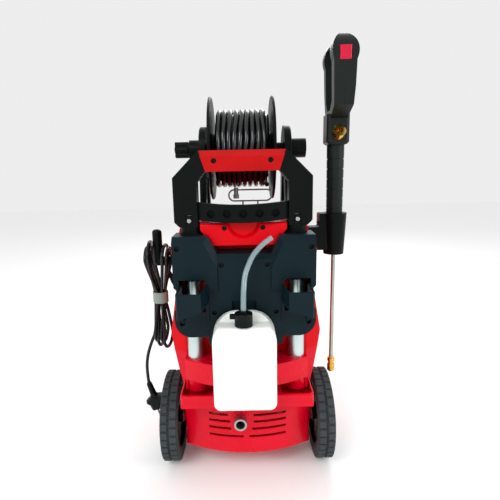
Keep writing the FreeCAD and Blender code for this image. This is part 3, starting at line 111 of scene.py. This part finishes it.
red_abs = moulded("red_moulded_abs", "#dc0012", "#cc000c", 0.32, 1.6, 0.12, 0.12)
base_red = moulded("base_red_moulded_abs", "#dc0026", "#cc001c", 0.28, 1.6, 0.12, 0.2)
grip_red = moulded("grip_red_moulded_abs", "#c00206", "#9c0204", 0.36, 1.4, 0.16, 0.15)
panel_black = moulded("blue_black_textured_abs", "#0b2128", "#06161b", 0.36, 1.3, 0.25, 0.12)
frame_black = moulded("black_glass_filled_nylon", "#070d0c", "#030706", 0.38, 1.2, 0.28, 0.10)
gun_black = moulded("charcoal_glass_filled_nylon", "#171d1b", "#0c1110", 0.36, 1.2, 0.28, 0.2)
cap_black = moulded("black_polypropylene", "#080f11", "#04090a", 0.34, 1.5, 0.15, 0.15)
shell_black = moulded("charcoal_nylon_shell_halves", "#171d1b", "#0c1110", 0.36, 1.2, 0.28, 0.2)
lock_red = moulded("signal_red_pom", "#cf0c3c", "#b00830", 0.28, 1.5, 0.08, 0.3)
tie_plastic = moulded("soft_pvc_tie", "#8f978f", "#767e77", 0.5, 1.0, 0.2)

# %% [markdown]
# ## The seam of the gun
# The gun is moulded in two halves that meet on its middle plane. The gap between them is about 1 mm with its
# rounded edges and shows as a fine line of shade, so painted shade darkens the colour and a bump sinks the surface
# where X is close to that plane.

# %% Draw the seam with its painted shade
def seam(made, x, width):
    tree = made.node_tree
    shader = tree.nodes["Principled BSDF"]
    place = add(tree, "ShaderNodeTexCoord").outputs["Object"]
    across = add(tree, "ShaderNodeSeparateXYZ", links={"Vector": place}).outputs["X"]
    off = add(tree, "ShaderNodeMath", {"operation": "SUBTRACT"}, {0: across, 1: x})
    distance = add(tree, "ShaderNodeMath", {"operation": "ABSOLUTE"}, {0: off.outputs["Value"]})
    # painted shade: the base colour is scaled down to 0.12 in the seam gap, and the same mask sinks it as a bump
    painted_seam_shade = add(tree, "ShaderNodeMapRange", links={"Value": distance.outputs["Value"], "From Min": width * 0.3,
                                                  "From Max": width * 0.6, "To Min": 0.12, "To Max": 1.0})
    shade = add(tree, "ShaderNodeVectorMath", {"operation": "SCALE"}, {
        0: shader.inputs["Base Color"].links[0].from_socket, "Scale": painted_seam_shade.outputs["Result"]})
    sunk = add(tree, "ShaderNodeBump", links={"Height": painted_seam_shade.outputs["Result"], "Strength": 0.6,
                                              "Distance": 0.0005,
                                              "Normal": shader.inputs["Normal"].links[0].from_socket})
    tree.links.new(shade.outputs["Vector"], shader.inputs["Base Color"])
    tree.links.new(sunk.outputs["Normal"], shader.inputs["Normal"])


GUN_X = 176 * MM
seam(shell_black, GUN_X, 1 * MM)

# %% [markdown]
# ## Metals
# The frame tubes are drawn aluminium. Drawing leaves fine lines along the tube, so a noise squeezed
# along Z gives streaks in roughness and height. Steel and brass use the same idea with other colours.

# %% Metal finishes
def drawn_metal(name, colour, darker, roughness, stretch, height):
    made, tree, shader, place = new_material(name)
    along = add(tree, "ShaderNodeMapping", links={"Vector": place, "Scale": stretch})
    lines = add(tree, "ShaderNodeTexNoise", links={"Vector": along.outputs["Vector"], "Scale": 900.0,
                                                   "Detail": 4.0})
    haze = add(tree, "ShaderNodeTexNoise", links={"Vector": place, "Scale": 40.0, "Detail": 3.0})
    tint = add(tree, "ShaderNodeMix", {"data_type": "RGBA"}, {"Factor": haze.outputs["Fac"]})
    tint.inputs["A"].default_value = linear(darker)
    tint.inputs["B"].default_value = linear(colour)
    gloss = add(tree, "ShaderNodeMapRange", links={"Value": lines.outputs["Fac"], "To Min": roughness - 0.08,
                                                   "To Max": roughness + 0.10})
    bump = add(tree, "ShaderNodeBump", links={"Height": lines.outputs["Fac"], "Strength": height,
                                              "Distance": 0.0002})
    tree.links.new(tint.outputs["Result"], shader.inputs["Base Color"])
    tree.links.new(gloss.outputs["Result"], shader.inputs["Roughness"])
    tree.links.new(bump.outputs["Normal"], shader.inputs["Normal"])
    shader.inputs["Metallic"].default_value = 1.0
    return made


drawn_aluminium = drawn_metal("drawn_aluminium", "#d3e0de", "#b4c6c5", 0.30, (1.0, 1.0, 0.02), 0.15)
zinc_steel = drawn_metal("zinc_plated_steel", "#b9bfbd", "#9aa19f", 0.38, (0.3, 1.0, 1.0), 0.10)
lance_steel = drawn_metal("stainless_lance_tube", "#b7b9ad", "#93968b", 0.26, (1.0, 1.0, 0.02), 0.10)
turned_brass = drawn_metal("turned_brass", "#e0bd62", "#c79c3c", 0.22, (1.0, 1.0, 6.0), 0.08)
black_screw = drawn_metal("blackened_screw_steel", "#2b2c2c", "#161717", 0.42, (1.0, 1.0, 1.0), 0.10)
cast_alloy = drawn_metal("die_cast_aluminium", "#8f9394", "#6d7172", 0.55, (1.0, 1.0, 1.0), 0.60)

# %% [markdown]
# ## Rubber, vinyl and polyethylene
# The hose jacket is smooth and shiny, the tyre is dull and dusty, and the cord lies between. The bottle is
# blow-moulded polyethylene: light goes a little way in, so it gets some subsurface scattering.

# %% Rubber, hose, bottle and clear tube finishes
tyre_rubber = moulded("dusty_tyre_rubber", "#444b4d", "#292f31", 0.74, 2.2, 0.5, 0.2)
hose_rubber = moulded("glossy_hose_jacket", "#12181a", "#070b0c", 0.19, 2.5, 0.15, 0.6)
cord_rubber = moulded("vinyl_cord_jacket", "#0d1011", "#050707", 0.28, 1.5, 0.12, 0.35)
hdpe = moulded("blow_moulded_polyethylene", "#f4f7f3", "#e9efea", 0.40, 3.5, 0.10, 0.4)
shader = hdpe.node_tree.nodes["Principled BSDF"]
shader.inputs["Subsurface Weight"].default_value = 0.25
shader.inputs["Subsurface Radius"].default_value = (0.012, 0.012, 0.011)
clear_vinyl = moulded("clear_vinyl_tube", "#bcd2d6", "#9db8bf", 0.12, 3.0, 0.05, 0.8)
shader = clear_vinyl.node_tree.nodes["Principled BSDF"]
shader.inputs["Transmission Weight"].default_value = 0.55
shader.inputs["IOR"].default_value = 1.4

# %% [markdown]
# ## Which node wears what
# A CAD node whose shape is right stays, and only takes a better material in its slots.

# %% Hand the finishes out
FINISHES = [
    (red_abs, "front_shell rear_cover"),
    (base_red, "base_shell rear_tray"),
    (grip_red, "grip_cover"),
    (panel_black, "rear_panel"),
    (frame_black, "handle_frame collar_left collar_right reel_support_left reel_support_right reel_drum "
                  "reel_flange_left reel_flange_right crank_arm crank_knob reel_lock_knob front_foot holster "
                  "cord_hook power_switch wheel_left wheel_right switch_box"),
    (shell_black, "gun_shell_left gun_shell_right"),
    (gun_black, "barrel_sleeve gun_trigger"),
    (drawn_aluminium, "outer_tube_left outer_tube_right inner_tube_left inner_tube_right"),
    (zinc_steel, "axle axle_clips hose_guide detent_button_left detent_button_right water_inlet hose_end"),
    (lance_steel, "lance_tube"),
    (turned_brass, "gun_inlet lance_coupler coupler_collar"),
    (black_screw, "housing_screws grip_screws"),
    (cast_alloy, "motor pump"),
    (cap_black, "bottle_cap plug"),
    (hdpe, "bottle"),
    (clear_vinyl, "suction_tube"),
    (cord_rubber, "cord_gland cord_lead cord_hank cord_tail"),
    (hose_rubber, "hose_coil"),
    (tyre_rubber, "tyre_left tyre_right"),
    (lock_red, "gun_lock_button"),
    (tie_plastic, "hank_tie"),
]
for finish, names in FINISHES:
    for name in names.split():
        mesh = nodes[name].data
        mesh.materials.clear()
        mesh.materials.append(finish)
print("nodes finished:", sum(len(names.split()) for _, names in FINISHES), "of", len(nodes))

# %% [markdown]
# ## The camera
# The view is from behind the machine, close, at chest height and tilted a little down.

# %% Camera
camera = bpy.data.objects.new("camera", bpy.data.cameras.new("camera"))
bpy.context.scene.collection.objects.link(camera)
camera.data.lens = 28.8
camera.data.sensor_width = 36.0
camera.data.shift_x = 0.012
camera.matrix_world = (Matrix.Translation((0.0, AXLE_Y - 0.774, 0.593))
                       @ Matrix.Rotation(math.radians(79.0), 4, "X") @ Matrix.Rotation(math.radians(-1.2), 4, "Z"))
bpy.context.scene.camera = camera

# %% [markdown]
# ## A plain studio
# A pale floor under soft light from all sides, with one large panel in front and one at each side,
# so that black plastic shows long soft highlights.

# %% Floor and lights
def linked(name, mesh):
    made = bpy.data.objects.new(name, mesh)
    bpy.context.scene.collection.objects.link(made)
    return made


floor_mesh = bpy.data.meshes.new("floor")
floor_mesh.from_pydata([(-6, -6, 0), (6, -6, 0), (6, 6, 0), (-6, 6, 0)], [], [(0, 1, 2, 3)])
floor = linked("floor", floor_mesh)
floor_paint, tree, shader, place = new_material("pale_floor_paint")
shader.inputs["Base Color"].default_value = linear("#fbfbfb")
shader.inputs["Roughness"].default_value = 0.8
floor_mesh.materials.append(floor_paint)

world = bpy.data.worlds.new("studio")
world.use_nodes = True
world.node_tree.nodes["Background"].inputs["Color"].default_value = (1.0, 1.0, 1.0, 1.0)
world.node_tree.nodes["Background"].inputs["Strength"].default_value = 0.85
bpy.context.scene.world = world
bpy.context.scene.view_settings.view_transform = "Standard"


def panel_light(name, place, size, power):
    light = bpy.data.lights.new(name, "AREA")
    light.shape, light.size, light.energy = "SQUARE", size, power
    made = bpy.data.objects.new(name, light)
    made.location = place
    made.rotation_euler = (Vector((0, -0.1, 0.4)) - Vector(place)).to_track_quat("-Z", "Y").to_euler()
    bpy.context.scene.collection.objects.link(made)


panel_light("key_panel", (-1.0, -1.9, 1.9), 1.0, 25)
panel_light("fill_panel", (1.8, -1.2, 1.2), 0.8, 14)
panel_light("back_panel", (0.4, 1.8, 2.0), 1.2, 18)

# %% [markdown]
# ## Geometry Nodes
# Tread lugs and hose turns repeat by a rule, so Geometry Nodes make them. This function makes an
# empty tree with named inputs, and the next one turns its result into a plain mesh.

# %% Helpers for geometry trees
def geometry_tree(name, inputs):
    tree = bpy.data.node_groups.new(name, "GeometryNodeTree")
    for label, kind in inputs:
        tree.interface.new_socket(label, in_out="INPUT", socket_type=kind)
    tree.interface.new_socket("Geometry", in_out="OUTPUT", socket_type="NodeSocketGeometry")
    return tree, add(tree, "NodeGroupInput").outputs


def grown(name, tree, values):
    """Runs a tree on an empty mesh and gives its result as a plain mesh object."""
    host = linked(name + "_host", bpy.data.meshes.new(name + "_host"))
    modifier = host.modifiers.new("grow", "NODES")
    modifier.node_group = tree
    for item in tree.interface.items_tree:
        if item.in_out == "INPUT" and item.name in values:
            modifier[item.identifier] = values[item.name]
    graph = bpy.context.evaluated_depsgraph_get()
    mesh = bpy.data.meshes.new_from_object(host.evaluated_get(graph))
    bpy.data.objects.remove(host)
    mesh.name = name
    return linked(name, mesh)


def turned(name, profile, turns, centre, finish):
    """Lathe work about the X axis: profile is (place along X, radius), closed on itself."""
    made = bmesh.new()
    rings = [[made.verts.new((x, centre[1] + r * math.cos(a), centre[2] + r * math.sin(a)))
              for x, r in profile]
             for a in (math.tau * step / turns for step in range(turns))]
    for ring, after in zip(rings, rings[1:] + rings[:1]):
        for i in range(len(profile)):
            j = (i + 1) % len(profile)
            made.faces.new((ring[i], ring[j], after[j], after[i]))
    bmesh.ops.recalc_face_normals(made, faces=made.faces)
    mesh = bpy.data.meshes.new(name)
    made.to_mesh(mesh)
    made.free()
    mesh.materials.append(finish)
    for polygon in mesh.polygons:
        polygon.use_smooth = True
    mesh.set_sharp_from_angle(angle=math.radians(32))
    return linked(name, mesh)

# %% [markdown]
# ## Tyres
# Each tyre is solid rubber with two rows of blocks, set half a block apart, and a groove between them.
# The carcass is lathe work. One block is shaped and a tree sets 34 of them round in each row.

# %% One tread block
def tread_block(length, width, height, bevel):
    made = bmesh.new()
    bmesh.ops.create_cube(made, size=1.0)
    for vert in made.verts:
        taper = 0.88 if vert.co.x > 0 else 1.0
        vert.co = Vector((vert.co.x * height, vert.co.y * length * taper, vert.co.z * width * taper))
    bmesh.ops.bevel(made, geom=made.edges[:], offset=bevel, segments=1, affect="EDGES")
    mesh = bpy.data.meshes.new("tread_block")
    made.to_mesh(mesh)
    made.free()
    return linked("tread_block", mesh)


WHEEL_R = 0.090
BLOCKS = 34
block = tread_block(0.0139, 0.0146, 0.006, 0.0007)

# %% The tree that sets the blocks round the tyre
tread_tree, given = geometry_tree("tread_rows", [
    ("Block", "NodeSocketObject"), ("Count", "NodeSocketInt"), ("Radius", "NodeSocketFloat"),
    ("Inner row", "NodeSocketFloat"), ("Outer row", "NodeSocketFloat"), ("Centre", "NodeSocketVector"),
    ("Finish", "NodeSocketMaterial")])
rim = add(tread_tree, "GeometryNodeMeshCircle", links={"Vertices": given["Count"], "Radius": given["Radius"]})
shape = add(tread_tree, "GeometryNodeObjectInfo", links={"Object": given["Block"]})
number = add(tread_tree, "GeometryNodeInputIndex")
step = add(tread_tree, "ShaderNodeMath", {"operation": "DIVIDE"})
step.inputs[0].default_value = math.tau
tread_tree.links.new(given["Count"], step.inputs[1])
angle = add(tread_tree, "ShaderNodeMath", {"operation": "MULTIPLY"})
tread_tree.links.new(number.outputs["Index"], angle.inputs[0])
tread_tree.links.new(step.outputs["Value"], angle.inputs[1])
turn = add(tread_tree, "ShaderNodeCombineXYZ", links={"Z": angle.outputs["Value"]})
round_rim = add(tread_tree, "GeometryNodeInstanceOnPoints", links={
    "Points": rim.outputs["Mesh"], "Instance": shape.outputs["Geometry"], "Rotation": turn.outputs["Vector"]})
half_step = add(tread_tree, "ShaderNodeMath", {"operation": "MULTIPLY"}, {0: step.outputs["Value"], 1: 0.5})
half_turn = add(tread_tree, "ShaderNodeCombineXYZ", links={"Z": half_step.outputs["Value"]})
inner_place = add(tread_tree, "ShaderNodeCombineXYZ", links={"Z": given["Inner row"]})
outer_place = add(tread_tree, "ShaderNodeCombineXYZ", links={"Z": given["Outer row"]})
inner_row = add(tread_tree, "GeometryNodeTransform", links={
    "Geometry": round_rim.outputs["Instances"], "Translation": inner_place.outputs["Vector"]})
outer_row = add(tread_tree, "GeometryNodeTransform", links={
    "Geometry": round_rim.outputs["Instances"], "Translation": outer_place.outputs["Vector"],
    "Rotation": half_turn.outputs["Vector"]})
rows = add(tread_tree, "GeometryNodeJoinGeometry")
tread_tree.links.new(inner_row.outputs["Geometry"], rows.inputs[0])
tread_tree.links.new(outer_row.outputs["Geometry"], rows.inputs[0])
upright = add(tread_tree, "GeometryNodeTransform", links={
    "Geometry": rows.outputs["Geometry"], "Rotation": (0.0, math.radians(90), 0.0),
    "Translation": given["Centre"]})
real = add(tread_tree, "GeometryNodeRealizeInstances", links={"Geometry": upright.outputs["Geometry"]})
dressed = add(tread_tree, "GeometryNodeSetMaterial", links={
    "Geometry": real.outputs["Geometry"], "Material": given["Finish"]})
add(tread_tree, "NodeGroupOutput", links={"Geometry": dressed.outputs["Geometry"]})

# %% Make both tyres
for side, word in ((-1, "left"), (1, "right")):
    low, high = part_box(f"tyre_{word}")
    middle, half = (low.x + high.x) / 2, (high.x - low.x) / 2
    centre = (middle, AXLE_Y, WHEEL_R)
    profile = [(-half + 0.001, 0.0682), (-half, 0.072), (-half, 0.082), (-half + 0.003, 0.0862),
               (-0.0016, 0.0866),
               (0, 0.0852), (0.0016, 0.0866), (half - 0.003, 0.0862), (half, 0.082), (half, 0.072),
               (half - 0.001, 0.0682)]
    carcass = turned(f"tyre_carcass_{word}", [(middle + x, r) for x, r in profile], 96, centre, tyre_rubber)
    blocks = grown(f"tread_blocks_{word}", tread_tree, {
        "Block": block, "Count": BLOCKS, "Radius": WHEEL_R - 0.0031, "Inner row": -0.0088,
        "Outer row": 0.0088,
        "Centre": centre, "Finish": tyre_rubber})
    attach(carcass, f"wheel_{word}")
    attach(blocks, f"wheel_{word}")
    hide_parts(f"tyre_{word}")
    print("tread", word, len(blocks.data.polygons), "faces")
bpy.data.objects.remove(block)

# %% [markdown]
# ## The wound hose
# High-pressure hose is stiff, so its turns lie nearly side by side but wander a little. A spiral curve
# with a slow noise does this, and a round profile swept along it gives the jacket.

# %% The tree that winds the hose
coil_tree, given = geometry_tree("wound_hose", [
    ("Hose radius", "NodeSocketFloat"), ("Turns", "NodeSocketFloat"), ("Width", "NodeSocketFloat"),
    ("Radius", "NodeSocketFloat"), ("Wander", "NodeSocketFloat"), ("Seed", "NodeSocketFloat"),
    ("Centre", "NodeSocketVector"), ("Finish", "NodeSocketMaterial")])
spiral = add(coil_tree, "GeometryNodeCurveSpiral", links={
    "Resolution": 56, "Rotations": given["Turns"], "Start Radius": given["Radius"],
    "End Radius": given["Radius"],
    "Height": given["Width"]})
where = add(coil_tree, "GeometryNodeInputPosition")
drift = add(coil_tree, "ShaderNodeTexNoise", {"noise_dimensions": "4D"}, {
    "Vector": where.outputs["Position"], "W": given["Seed"], "Scale": 16.0, "Detail": 1.0})
centred = add(coil_tree, "ShaderNodeMath", {"operation": "SUBTRACT"}, {0: drift.outputs["Fac"], 1: 0.5})
amount = add(coil_tree, "ShaderNodeMath", {"operation": "MULTIPLY"}, {
    0: centred.outputs["Value"], 1: given["Wander"]})
shift = add(coil_tree, "ShaderNodeCombineXYZ", links={"Z": amount.outputs["Value"]})
wandering = add(coil_tree, "GeometryNodeSetPosition", links={
    "Geometry": spiral.outputs["Curve"], "Offset": shift.outputs["Vector"]})
section = add(coil_tree, "GeometryNodeCurvePrimitiveCircle",
              links={"Resolution": 12, "Radius": given["Hose radius"]})
jacket = add(coil_tree, "GeometryNodeCurveToMesh", links={
    "Curve": wandering.outputs["Geometry"], "Profile Curve": section.outputs["Curve"], "Fill Caps": True})
half_width = add(coil_tree, "ShaderNodeMath", {"operation": "MULTIPLY"}, {0: given["Width"], 1: -0.5})
back = add(coil_tree, "ShaderNodeCombineXYZ", links={"Z": half_width.outputs["Value"]})
level = add(coil_tree, "GeometryNodeTransform", links={
    "Geometry": jacket.outputs["Mesh"], "Translation": back.outputs["Vector"]})
across = add(coil_tree, "GeometryNodeTransform", links={
    "Geometry": level.outputs["Geometry"], "Rotation": (0.0, math.radians(90), 0.0),
    "Translation": given["Centre"]})
smooth = add(coil_tree, "GeometryNodeSetShadeSmooth", links={"Geometry": across.outputs["Geometry"]})
real = add(coil_tree, "GeometryNodeRealizeInstances", links={"Geometry": smooth.outputs["Geometry"]})
dressed = add(coil_tree, "GeometryNodeSetMaterial", links={
    "Geometry": real.outputs["Geometry"], "Material": given["Finish"]})
add(coil_tree, "NodeGroupOutput", links={"Geometry": dressed.outputs["Geometry"]})

# %% Wind three layers
low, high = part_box("hose_coil")
reel_centre = tuple((low + high) / 2)
HOSE_R = 0.0048
full_width = high.x - low.x - 2 * HOSE_R
layers = [("hose_inner_layer", 0.0535, 11.0, full_width - 0.004, 0.003, 1.0),
          ("hose_middle_layer", 0.0633, 10.5, full_width - 0.006, 0.004, 4.0),
          ("hose_outer_layer", 0.0728, 9.0, full_width - 0.008, 0.013, 7.5)]
for name, radius, turns, width, wander, seed in layers:
    winding = grown(name, coil_tree, {"Hose radius": HOSE_R, "Turns": turns, "Width": width, "Radius": radius,
                                      "Wander": wander, "Seed": seed, "Centre": reel_centre,
                                      "Finish": hose_rubber})
    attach(winding, "reel")
    if name == "hose_inner_layer":
        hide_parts("hose_coil")
    print(name, len(winding.data.polygons), "faces")

# %% [markdown]
# ## Rims of the nozzle holders
# Each of the five holes in the crossbar has a thin raised rim. The bar's face is bowed, so the tree sets a
# row of points, pushes them onto the bow with y = bulge * (x / half)^2, and turns each rim to the slope.

# %% The tree that sets rims along the bowed bar
rim_tree, given = geometry_tree("holder_rims", [
    ("Rim", "NodeSocketObject"), ("Count", "NodeSocketInt"), ("Pitch", "NodeSocketFloat"),
    ("Bow", "NodeSocketFloat"), ("Middle", "NodeSocketVector"), ("Finish", "NodeSocketMaterial")])
pitch = add(rim_tree, "ShaderNodeCombineXYZ", links={"X": given["Pitch"]})
row = add(rim_tree, "GeometryNodeMeshLine", links={"Count": given["Count"],
                                                   "Offset": pitch.outputs["Vector"]})
fewer = add(rim_tree, "ShaderNodeMath", {"operation": "SUBTRACT"}, {0: given["Count"], 1: 1.0})
reach = add(rim_tree, "ShaderNodeMath", {"operation": "MULTIPLY"},
            {0: fewer.outputs["Value"], 1: given["Pitch"]})
half_reach = add(rim_tree, "ShaderNodeMath", {"operation": "MULTIPLY"}, {0: reach.outputs["Value"], 1: -0.5})
half_back = add(rim_tree, "ShaderNodeCombineXYZ", links={"X": half_reach.outputs["Value"]})
centred_row = add(rim_tree, "GeometryNodeTransform", links={
    "Geometry": row.outputs["Mesh"], "Translation": half_back.outputs["Vector"]})
along = add(rim_tree, "ShaderNodeSeparateXYZ", links={
    "Vector": add(rim_tree, "GeometryNodeInputPosition").outputs["Position"]}).outputs["X"]
square = add(rim_tree, "ShaderNodeMath", {"operation": "MULTIPLY"}, {0: along, 1: along})
depth = add(rim_tree, "ShaderNodeMath", {"operation": "MULTIPLY"},
            {0: square.outputs["Value"], 1: given["Bow"]})
push = add(rim_tree, "ShaderNodeCombineXYZ", links={"Y": depth.outputs["Value"]})
bowed = add(rim_tree, "GeometryNodeSetPosition", links={
    "Geometry": centred_row.outputs["Geometry"], "Offset": push.outputs["Vector"]})
twice = add(rim_tree, "ShaderNodeMath", {"operation": "MULTIPLY"}, {0: given["Bow"], 1: 2.0})
slope = add(rim_tree, "ShaderNodeMath", {"operation": "MULTIPLY"}, {0: along, 1: twice.outputs["Value"]})
tilt = add(rim_tree, "ShaderNodeMath", {"operation": "ARCTANGENT"}, {0: slope.outputs["Value"]})
facing = add(rim_tree, "ShaderNodeMath", {"operation": "ADD"}, {0: tilt.outputs["Value"], 1: math.pi / 2})
turn = add(rim_tree, "ShaderNodeCombineXYZ", links={"Z": facing.outputs["Value"]})
shape = add(rim_tree, "GeometryNodeObjectInfo", links={"Object": given["Rim"]})
set_rims = add(rim_tree, "GeometryNodeInstanceOnPoints", links={
    "Points": bowed.outputs["Geometry"], "Instance": shape.outputs["Geometry"],
    "Rotation": turn.outputs["Vector"]})
on_bar = add(rim_tree, "GeometryNodeTransform", links={
    "Geometry": set_rims.outputs["Instances"], "Translation": given["Middle"]})
real = add(rim_tree, "GeometryNodeRealizeInstances", links={"Geometry": on_bar.outputs["Geometry"]})
dressed = add(rim_tree, "GeometryNodeSetMaterial", links={
    "Geometry": real.outputs["Geometry"], "Material": given["Finish"]})
add(rim_tree, "NodeGroupOutput", links={"Geometry": dressed.outputs["Geometry"]})

# %% Set the five rims
BAR_BACK = -89 * MM + AXLE_Y
BAR_HALF = 80 * MM
BAR_BULGE = 16 * MM
HOLDER_Z = 523 * MM
rim = turned("holder_rim", [(-0.0006, 0.0071), (-0.0006, 0.0077), (-0.0003, 0.0080), (0.0012, 0.0080),
                            (0.0012, 0.0071)], 32, (0, 0, 0), frame_black)
rims = grown("nozzle_holder_rims", rim_tree, {
    "Rim": rim, "Count": 5, "Pitch": 28 * MM, "Bow": BAR_BULGE / BAR_HALF ** 2,
    "Middle": (0.0, BAR_BACK, HOLDER_Z), "Finish": frame_black})
bpy.data.objects.remove(rim)
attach(rims, "handle")
print("rims", len(rims.data.polygons), "faces")

# %% [markdown]
# ## The mains cord
# The cord leaves the left side of the casing, is wound into a hank on the hook, bound once in the middle,
# and hangs down to its plug. It is one smooth line, a NURBS curve, whose control points go up and down
# through the waist at the tie. Each fold is half an octagon, which the curve rounds to an arc. The folds
# stand front to back, two on the inner side of the hook and three on its outer side, so the hank is slim.

# %% Route of the cord
CORD_D = 0.0066
HOOK_X = -169.5
LEAD = [(-146, 25, 376), (-156, 27, 395), (-161, 26, 419)]
TAIL = [(-184, 0, 276), (-196, 1, 250), (-206, 3, 220), (-209, 3, 190), (-206, 0, 163)]


def fold(middle, y, z, half, up, leftward, lean):
    """Control points of one fold, rising when up is 1 and hanging when it is -1; lean turns it about Z."""
    near, far = 0.414 * half, half
    steps = [(far, 0), (far, near), (near, far), (-near, far), (-far, near), (-far, 0)]
    steps = steps if leftward else [(-x, dz) for x, dz in steps]
    c, s = math.cos(math.radians(lean)), math.sin(math.radians(lean))
    return [(middle + x * c, y + x * s, z + up * dz) for x, dz in steps]


def strand(start, place, end):
    """Points between two folds, gathered at one place in the waist under the tie."""
    x, y = place
    falling = start[2] > end[2]
    near_start, near_end = (388, 318) if falling else (318, 388)
    through = [(x, y, 364), (x, y, 340)] if falling else [(x, y, 340), (x, y, 364)]
    return [(start[0] * 0.4 + x * 0.6, start[1] * 0.4 + y * 0.6, near_start), *through,
            (end[0] * 0.4 + x * 0.6, end[1] * 0.4 + y * 0.6, near_end)]


# nine places in the waist, counted round from the front: seven outside and two inside
around = [(HOOK_X + 10.2 * math.cos(math.radians(a)), 9.6 * math.sin(math.radians(a)))
          for a in (90 + 360 * k / 7 for k in range(7))]
inside = [(HOOK_X + 3.4, 0.0), (HOOK_X - 3.4, 0.0)]
waist = [around[4], around[6], around[5], inside[0], inside[1], around[0], around[3], around[1], around[2]]
tops = [fold(-155.2, 0.0, 431, 25.0, 1, True, 86), fold(-148.5, 0.0, 425, 25.0, 1, True, 88),
        fold(-184.2, 0.0, 433, 25.0, 1, True, 94), fold(-190.9, 0.0, 426, 25.5, 1, True, 92),
        fold(-184.4, 0.0, 431, 31.8, 1, True, 92)]
bottoms = [fold(-158.6, 1.0, 270, 25.0, -1, False, 80), fold(-166.0, 0.0, 282, 25.0, -1, False, 84),
           fold(-172.8, 1.0, 274, 25.0, -1, False, 86), fold(-179.6, 0.0, 284, 25.0, -1, False, 90)]
route = LEAD + tops[0]
for index, bottom in enumerate(bottoms):
    route += strand(tops[index][-1], waist[2 * index], bottom[0]) + bottom
    route += strand(bottom[-1], waist[2 * index + 1], tops[index + 1][0]) + tops[index + 1]
route += strand(tops[-1][-1], waist[-1], TAIL[0]) + TAIL

# %% Lay the cord
def cord_curve(name, points, diameter, finish):
    data = bpy.data.curves.new(name, "CURVE")
    data.dimensions = "3D"
    data.bevel_depth = diameter / 2
    data.bevel_resolution = 3
    data.resolution_u = 6
    data.use_fill_caps = True
    spline = data.splines.new("NURBS")
    spline.points.add(len(points) - 1)
    for target, (x, y, z) in zip(spline.points, points):
        target.co = (x * MM, y * MM + AXLE_Y, z * MM, 1.0)
    spline.order_u = 3
    spline.use_endpoint_u = True
    data.materials.append(finish)
    return linked(name, data)


def length_of(curve):
    bare = curve.data.copy()
    bare.bevel_depth = 0.0
    probe = linked("probe", bare)
    mesh = bpy.data.meshes.new_from_object(probe.evaluated_get(bpy.context.evaluated_depsgraph_get()))
    total = sum((mesh.vertices[a].co - mesh.vertices[b].co).length
                for a, b in (edge.vertices for edge in mesh.edges))
    bpy.data.objects.remove(probe)
    return total


cord = cord_curve("mains_cord", route, CORD_D, cord_rubber)
cord_length = length_of(cord)
print("cord", round(cord_length, 3), "m,", len(route), "points")

# %% [markdown]
# ## Strain relief and plug pins
# Where the cord leaves the casing, a ribbed boot keeps it from kinking, and the plug ends in two pins.

# %% Boot and pins
def lathed(name, profile, foot, direction, finish, turns=24):
    """Lathe work along any direction: profile is (place along it, radius), from end to end."""
    turn = Vector((0, 0, 1)).rotation_difference(Vector(direction).normalized()).to_matrix()
    made = bmesh.new()
    rings = [[made.verts.new(Vector(foot) + turn @ Vector((r * math.cos(a), r * math.sin(a), along)))
              for a in (math.tau * k / turns for k in range(turns))] for along, r in profile]
    for ring, after in zip(rings, rings[1:]):
        for i in range(turns):
            j = (i + 1) % turns
            made.faces.new((ring[i], ring[j], after[j], after[i]))
    made.faces.new(rings[0][::-1])
    made.faces.new(rings[-1])
    bmesh.ops.recalc_face_normals(made, faces=made.faces)
    mesh = bpy.data.meshes.new(name)
    made.to_mesh(mesh)
    made.free()
    mesh.materials.append(finish)
    for polygon in mesh.polygons:
        polygon.use_smooth = True
    mesh.set_sharp_from_angle(angle=math.radians(35))
    return linked(name, mesh)


def placed(point):
    return Vector((point[0] * MM, point[1] * MM + AXLE_Y, point[2] * MM))


lead_way = placed(LEAD[1]) - placed(LEAD[0])
RIBS = 5
RIB_PITCH = 4.2 * MM
boot_profile = []
for rib in range(RIBS):
    along, radius = RIB_PITCH * rib, 0.0066 - 0.0004 * rib
    boot_profile += [(along, radius), (along + 0.0026, radius - 0.0002), (along + 0.0027, radius - 0.0011),
                     (along + 0.0041, radius - 0.0011)]
boot = lathed("cord_boot", boot_profile, placed(LEAD[0]), lead_way, cord_rubber)
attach(boot, "machine")

plug_way = Vector((0.30, 0.0, -0.954)).normalized()
for side in (-1, 1):
    foot = placed(TAIL[-1]) + plug_way * 0.0575 + Vector((0, side * 0.0095, 0))
    pin = lathed(f"plug_pin_{'left' if side < 0 else 'right'}",
                 [(0, 0.0021), (0.016, 0.0021), (0.0178, 0.0017), (0.0184, 0.0008)], foot, plug_way,
                 zinc_steel, 16)
    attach(pin, "machine")

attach(cord, "machine")
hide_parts("cord_lead", "cord_hank", "cord_tail")
